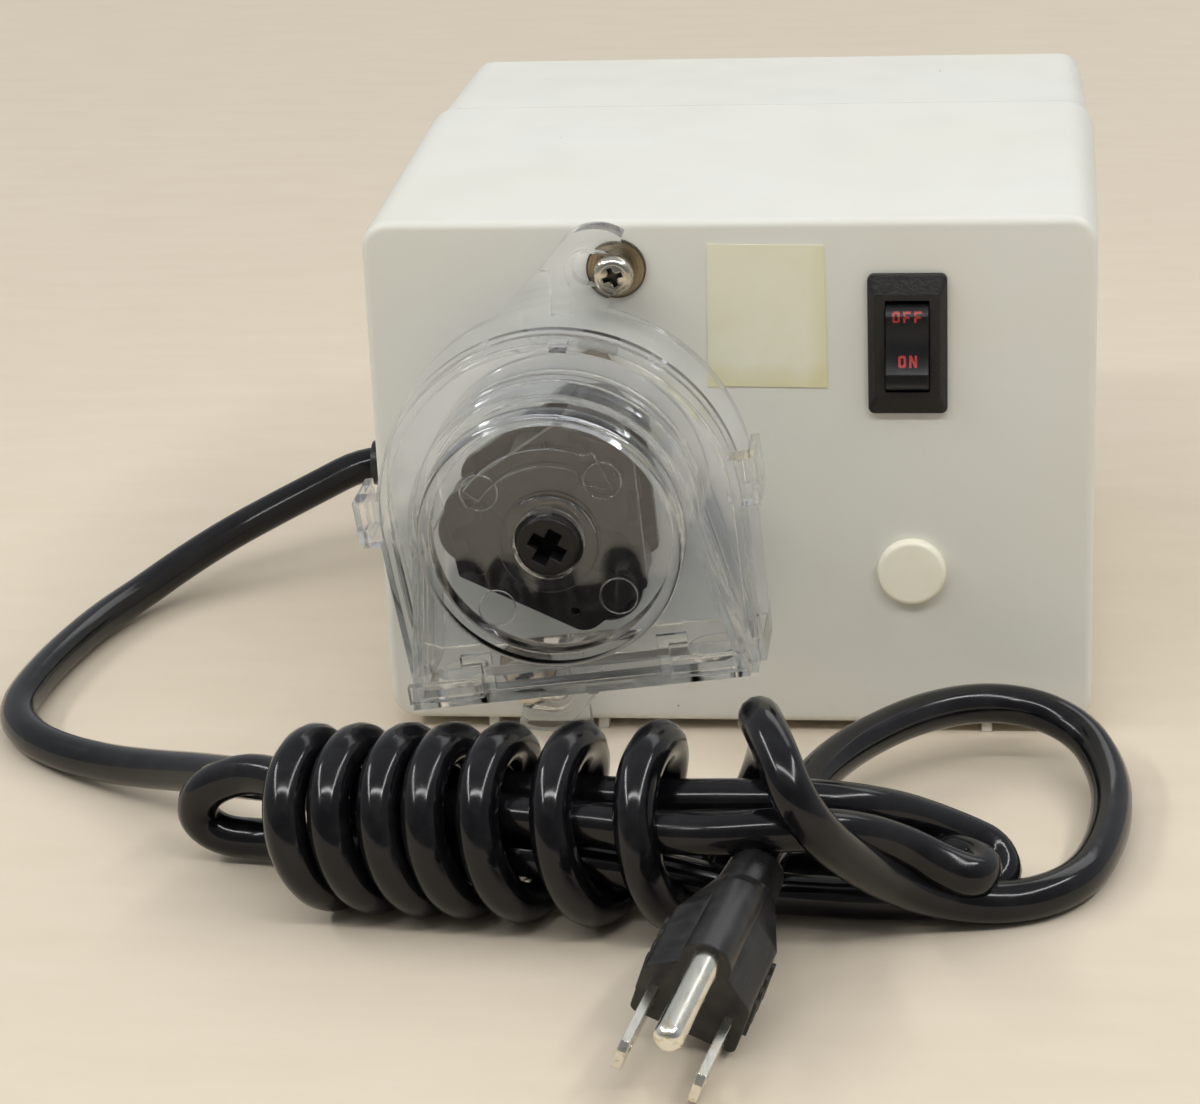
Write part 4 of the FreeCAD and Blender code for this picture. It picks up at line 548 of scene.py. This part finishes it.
SHEET = 0.0003
stack = Finish("stacked_laminations", Metallic=0.8, Roughness=0.5)
sheet = stack.start.sum("PINGPONG", stack.axes(stack.place())[1], SHEET)
stack.set(Base_Color=stack.blend(stack.ramp(sheet, 0.0, 0.00008), (0.06, 0.06, 0.065), (0.26, 0.26, 0.27)))
stack.bump(sheet, 0.6, 0.0002)
wear(stack, "motor_stator")

TAPE_TURN = 0.003
tape = Finish("coil_tape", Roughness=0.4)
place = tape.place()
ragged = 0.0004 * tape.noise(place, 300.0)
turns = tape.start.sum("PINGPONG", tape.axes(place)[0] + ragged, TAPE_TURN)
tape.set(Base_Color=tape.blend(tape.ramp(turns, 0.0, 0.0004), (0.30, 0.19, 0.05), (0.62, 0.44, 0.14)))
tape.bump(turns, 0.5, 0.0003)
wear(tape, "motor_coil")

turned = Finish("turned_steel", Metallic=1.0, Roughness=0.3)
place = turned.place()
lines = turned.noise(turned.stretched(place, 40.0, 2600.0, 40.0), 1.0, 2.0)
turned.set(Base_Color=turned.blend(lines, (0.44, 0.44, 0.44), (0.6, 0.6, 0.6)),
           Roughness=turned.ramp(lines, 0.3, 0.7, 0.22, 0.42))
turned.bump(lines, 0.3, 0.00003, 0.0002)
wear(turned, "motor_rotor")


# Plug and strain relief: black soft vinyl, moulded round the cord in one piece. The plug has a ridge
# over its ground pin and four grip ribs on each side, and a soft sheen with a little dust.
vinyl = Finish("moulded_vinyl", Roughness=0.33, Specular_IOR_Level=0.5)
place = vinyl.place()
dust = vinyl.noise(place, 260.0, 5.0, 0.65)
dusty = vinyl.ramp(dust, 0.42, 0.78)
vinyl.set(Base_Color=vinyl.blend(dusty, (0.010, 0.010, 0.010), (0.034, 0.033, 0.032)),
          Roughness=vinyl.ramp(dust, 0.3, 0.7, 0.26, 0.42))
vinyl.bump(vinyl.noise(place, 1600.0, 3.0), 0.18, 0.0001, 0.0007)
wear(vinyl, "plug_body", "strain_relief")


# Plug pins: two flat blades and a round ground pin of brass with bright nickel on it, crimped to the
# cores inside the moulding. Brass shows through in streaks where sockets have rubbed them.
pins = Finish("rubbed_nickel", Metallic=1.0, Roughness=0.2)
place = pins.place()
streak = pins.noise(pins.stretched(place, 900.0, 90.0, 900.0), 1.0, 3.0)
pins.set(Base_Color=pins.blend(pins.ramp(streak, 0.52, 0.78), (0.84, 0.82, 0.74), (0.62, 0.52, 0.32)),
         Roughness=pins.ramp(streak, 0.3, 0.7, 0.14, 0.3))
pins.bump(streak, 0.2, 0.00004, 0.0003)
wear(pins, "plug_blades", "plug_ground_pin", "switch_terminals")


# Mains cord: three copper cores in one round black jacket with a high gloss, about 1.8 m in all.
# It leaves the rear shell on the left, lies round on the table, folds to and fro as the core of a
# hank, is wound round that core from left to right, and makes one big loop before its plug. Its
# places are in millimetres.
CORD_RADIUS = 3.7
CORD = 2 * CORD_RADIUS / 1000
LEAD = (
    (-66, 46, 21), (-78, 46, 21), (-90, 46, 21), (-99.5, 40, 17.5), (-109, 34, 14), (-118, 28, 10.5),
    (-126, 18.5, 7.5), (-132.5, 8, 5), (-138.5, -6, 4), (-142, -23.5, 3.8), (-143.5, -40, 3.8),
    (-143, -52.5, 3.8), (-137.5, -63, 3.8), (-128.5, -71.5, 4.2), (-116.5, -79.5, 5.5),
    (-104.5, -88, 8.5), (-93, -97.5, 12.5), (-81, -109.5, 17),
)
CORE = (
    (-73, -115.5, 19.6), (-62, -119.4, 20.1), (-44, -120.6, 20.8), (-27, -122.8, 21.6),
    (-9, -126, 22), (4, -126.6, 22.6),
    (12, -127.4, 23), (19.5, -127.4, 23.2), (27, -125.6, 21.5), (34, -120.6, 17.8), (39.5, -117, 14),
    (44.5, -114.8, 10.8), (49.3, -114.2, 8), (51, -118.5, 5), (46.5, -122.8, 4), (37, -125, 3.8),
    (26.5, -125.2, 3.8), (16.5, -124.8, 4.2), (6, -128.5, 6.5), (-7, -130.6, 11), (-25, -130.4, 13.2),
    (-44, -127.6, 13.2), (-62, -122.8, 11.2), (-72, -111, 5.4), (-80.5, -107.6, 4.4), (-88, -107.6, 4.8),
    (-92.2, -107.8, 8.2), (-91.8, -108.6, 13), (-87, -110, 17.2), (-78.5, -113, 20.4),
    (-62, -125.4, 20.4), (-43, -128.4, 21.1), (-21.5, -134.2, 22.2), (-4, -138, 22),
    (4.5, -140.2, 23), (12, -140.8, 24), (19.5, -140, 24.1), (27.3, -135.6, 21.4),
    (34.5, -131.2, 16.8), (41, -130.5, 12.8), (46.4, -130.4, 10.6), (47.6, -124.8, 10.4),
    (42.2, -120.4, 10.4), (33.5, -119.8, 8.8), (24, -118.6, 6), (12.5, -118.2, 4.4), (-4, -120, 5.4),
    (-21.5, -121.4, 10), (-42.5, -120.6, 13), (-58, -119.4, 12.8),
)
# Where each turn's top is along the hank, how far it moves along on its way down the front, and how
# far its front leans to the left and its back to the right.
WRAP_TOPS = (-80.0, -68.5, -60.7, -52.0, -44.2, -34.7, -22.0, -7.8, 10.6)
WRAP_LEAN = 6.5
WRAP_SLANT = 4.0
WRAP_STEPS = 12
WRAP_BEGINS = 8
HANK_LEFT = Vector((-72, -121.8, 16.1))
HANK_RIGHT = Vector((14, -129, 18.6))
LOOP = (
    (10.2, -130.5, 41), (14, -142, 39.8), (17.2, -148.4, 33.8), (21.6, -146.6, 26.1), (26.7, -141, 18.6),
    (33, -133.6, 10.8), (41, -129, 6), (49.5, -126.8, 4), (58, -123.6, 3.8), (65, -115.6, 3.8),
    (69, -101.5, 4), (70.5, -87, 4.4), (69.5, -76.5, 6), (66, -67.5, 8.4), (59.5, -63, 10.8),
    (52, -62.5, 12.4), (44, -65.5, 13.6), (35.8, -72, 14.4), (28.8, -80, 14.6), (23, -88, 14.4),
    (18.5, -97, 14), (15.4, -108, 13.8), (13.2, -122, 15), (11.6, -136, 17), (8.9, -150.4, 16.2),
)


def wraps():
    """The turns round the core, each slanted, their tops at the places that the photograph shows."""
    points = []
    for step in range(WRAP_BEGINS, WRAP_STEPS * (len(WRAP_TOPS) - 1)):
        turn, part = divmod(step, WRAP_STEPS)
        angle = 2 * math.pi * part / WRAP_STEPS
        start, end = WRAP_TOPS[turn], WRAP_TOPS[turn + 1]
        if part <= WRAP_STEPS // 2:
            along = WRAP_LEAN * (1 - math.cos(angle)) / 2
        else:
            along = WRAP_LEAN + (end - start - WRAP_LEAN) * (1 + math.cos(angle)) / 2
        x = start + along - WRAP_SLANT * math.sin(angle)
        middle = HANK_LEFT.lerp(HANK_RIGHT, (x - HANK_LEFT.x) / (HANK_RIGHT.x - HANK_LEFT.x))
        reach = (middle.z - CORD_RADIUS) / math.cos(math.pi / WRAP_STEPS)
        points.append((x, middle.y - reach * math.sin(angle), middle.z + reach * math.cos(angle)))
    return points


route = [Vector(point) / 1000 for point in (*LEAD, *CORE, *wraps(), *LOOP)]
curve = bpy.data.curves.new("mains_cord", "CURVE")
curve.dimensions = "3D"
curve.bevel_depth, curve.bevel_resolution, curve.resolution_u = CORD / 2, 5, 5
line = curve.splines.new("NURBS")
line.points.add(len(route) - 1)
for point, spot in zip(line.points, route):
    point.co = (*spot, 1.0)
line.order_u = 3
line.use_endpoint_u = True
cord = bpy.data.objects.new("mains_cord", curve)
bpy.context.collection.objects.link(cord)
jacket = Finish("cord_jacket", Roughness=0.15, Specular_IOR_Level=0.37)
place = jacket.place()
scuff = jacket.noise(place, 220.0, 5.0, 0.65)
scuffed = jacket.ramp(scuff, 0.45, 0.8)
jacket.set(Base_Color=jacket.blend(scuffed, (0.004, 0.004, 0.005), (0.012, 0.012, 0.013)),
           Roughness=jacket.ramp(scuff, 0.35, 0.75, 0.11, 0.2))
jacket.bump(jacket.noise(place, 340.0, 2.0), 0.07, 0.0002)
wear(jacket, cord)
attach(cord, "pump_base")
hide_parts("cord_lead", "cord_loop", "cord_hank")


# Table: a sheet of plain pale paper. Strip lights hang above it on the left, on the right and in
# front, with a wide soft lamp over them all and a smaller one behind.
FLOOR_CORNERS = [(-3, -2, 0), (3, -2, 0), (3, 4, 0), (-3, 4, 0)]
floor = bpy.data.meshes.new("floor")
floor.from_pydata(FLOOR_CORNERS, [], [(0, 1, 2, 3)])
table = bpy.data.objects.new("floor", floor)
bpy.context.collection.objects.link(table)
paper = Finish("table_paper", Roughness=0.8, Specular_IOR_Level=0.3, Emission_Strength=1.0)
place = paper.place()
fibre = paper.noise(paper.stretched(place, 30.0, 110.0, 30.0), 1.0, 5.0, 0.6)
x, y, _ = paper.axes(place)
seen = paper.start.out(paper.node("ShaderNodeLightPath"), "Is Camera Ray")
lift = seen * paper.ramp(x * x + y * y, 0.1, 3.0, 0.0, 0.5)
paper.set(Base_Color=paper.blend(fibre, (0.67, 0.58, 0.45), (0.74, 0.65, 0.52)),
          Emission_Color=paper.blend(lift, (0.0, 0.0, 0.0), (0.72, 0.64, 0.52)))
paper.bump(paper.noise(place, 900.0, 3.0), 0.1, 0.0001)
wear(paper, table)

world = bpy.data.worlds.new("studio")
bpy.context.scene.world = world
world.use_nodes = True
glow = world.node_tree.nodes["Background"].inputs
glow["Color"].default_value = (0.95, 0.97, 1.0, 1.0)
sky = Field(world.node_tree, None)
ray = sky.out(sky.node("ShaderNodeTexCoord"), "Generated")
ways = sky.node("ShaderNodeSeparateXYZ", None, Vector=ray)
dim_front = sky.node("ShaderNodeMapRange", {"clamp": True}, Value=sky.out(ways, "Y"))
for name, number in (("From Min", -0.85), ("From Max", 0.15), ("To Min", 0.16), ("To Max", 0.45)):
    dim_front.inputs[name].default_value = number
sky.feed(glow["Strength"], sky.out(dim_front, "Result"))

AIMED_AT = Vector((0, 0, 0.05))


def lamp(name, place, length, width, watts):
    """Hang a lamp that shines at the pump. The length of one beside it runs from front to back."""
    light = bpy.data.lights.new(name, "AREA")
    light.shape, light.size, light.size_y, light.energy = "RECTANGLE", length, width, watts
    made = bpy.data.objects.new(name, light)
    aim = Vector(place) - AIMED_AT
    made.matrix_world = Matrix.Translation(place) @ aim.to_track_quat("Z", "Y").to_matrix().to_4x4()
    bpy.context.collection.objects.link(made)


lamp("strip_left", (-1.15, -0.3, 1.15), 1.5, 0.1, 8.0)
lamp("strip_right", (0.95, -0.3, 1.25), 1.5, 0.1, 7.5)
lamp("strip_front", (0.0, -0.85, 1.2), 1.5, 0.1, 7.5)
lamp("overhead", (-0.1, -0.5, 1.5), 2.2, 2.4, 2.0)
lamp("behind", (0.45, 1.0, 1.1), 1.2, 0.5, 3.0)
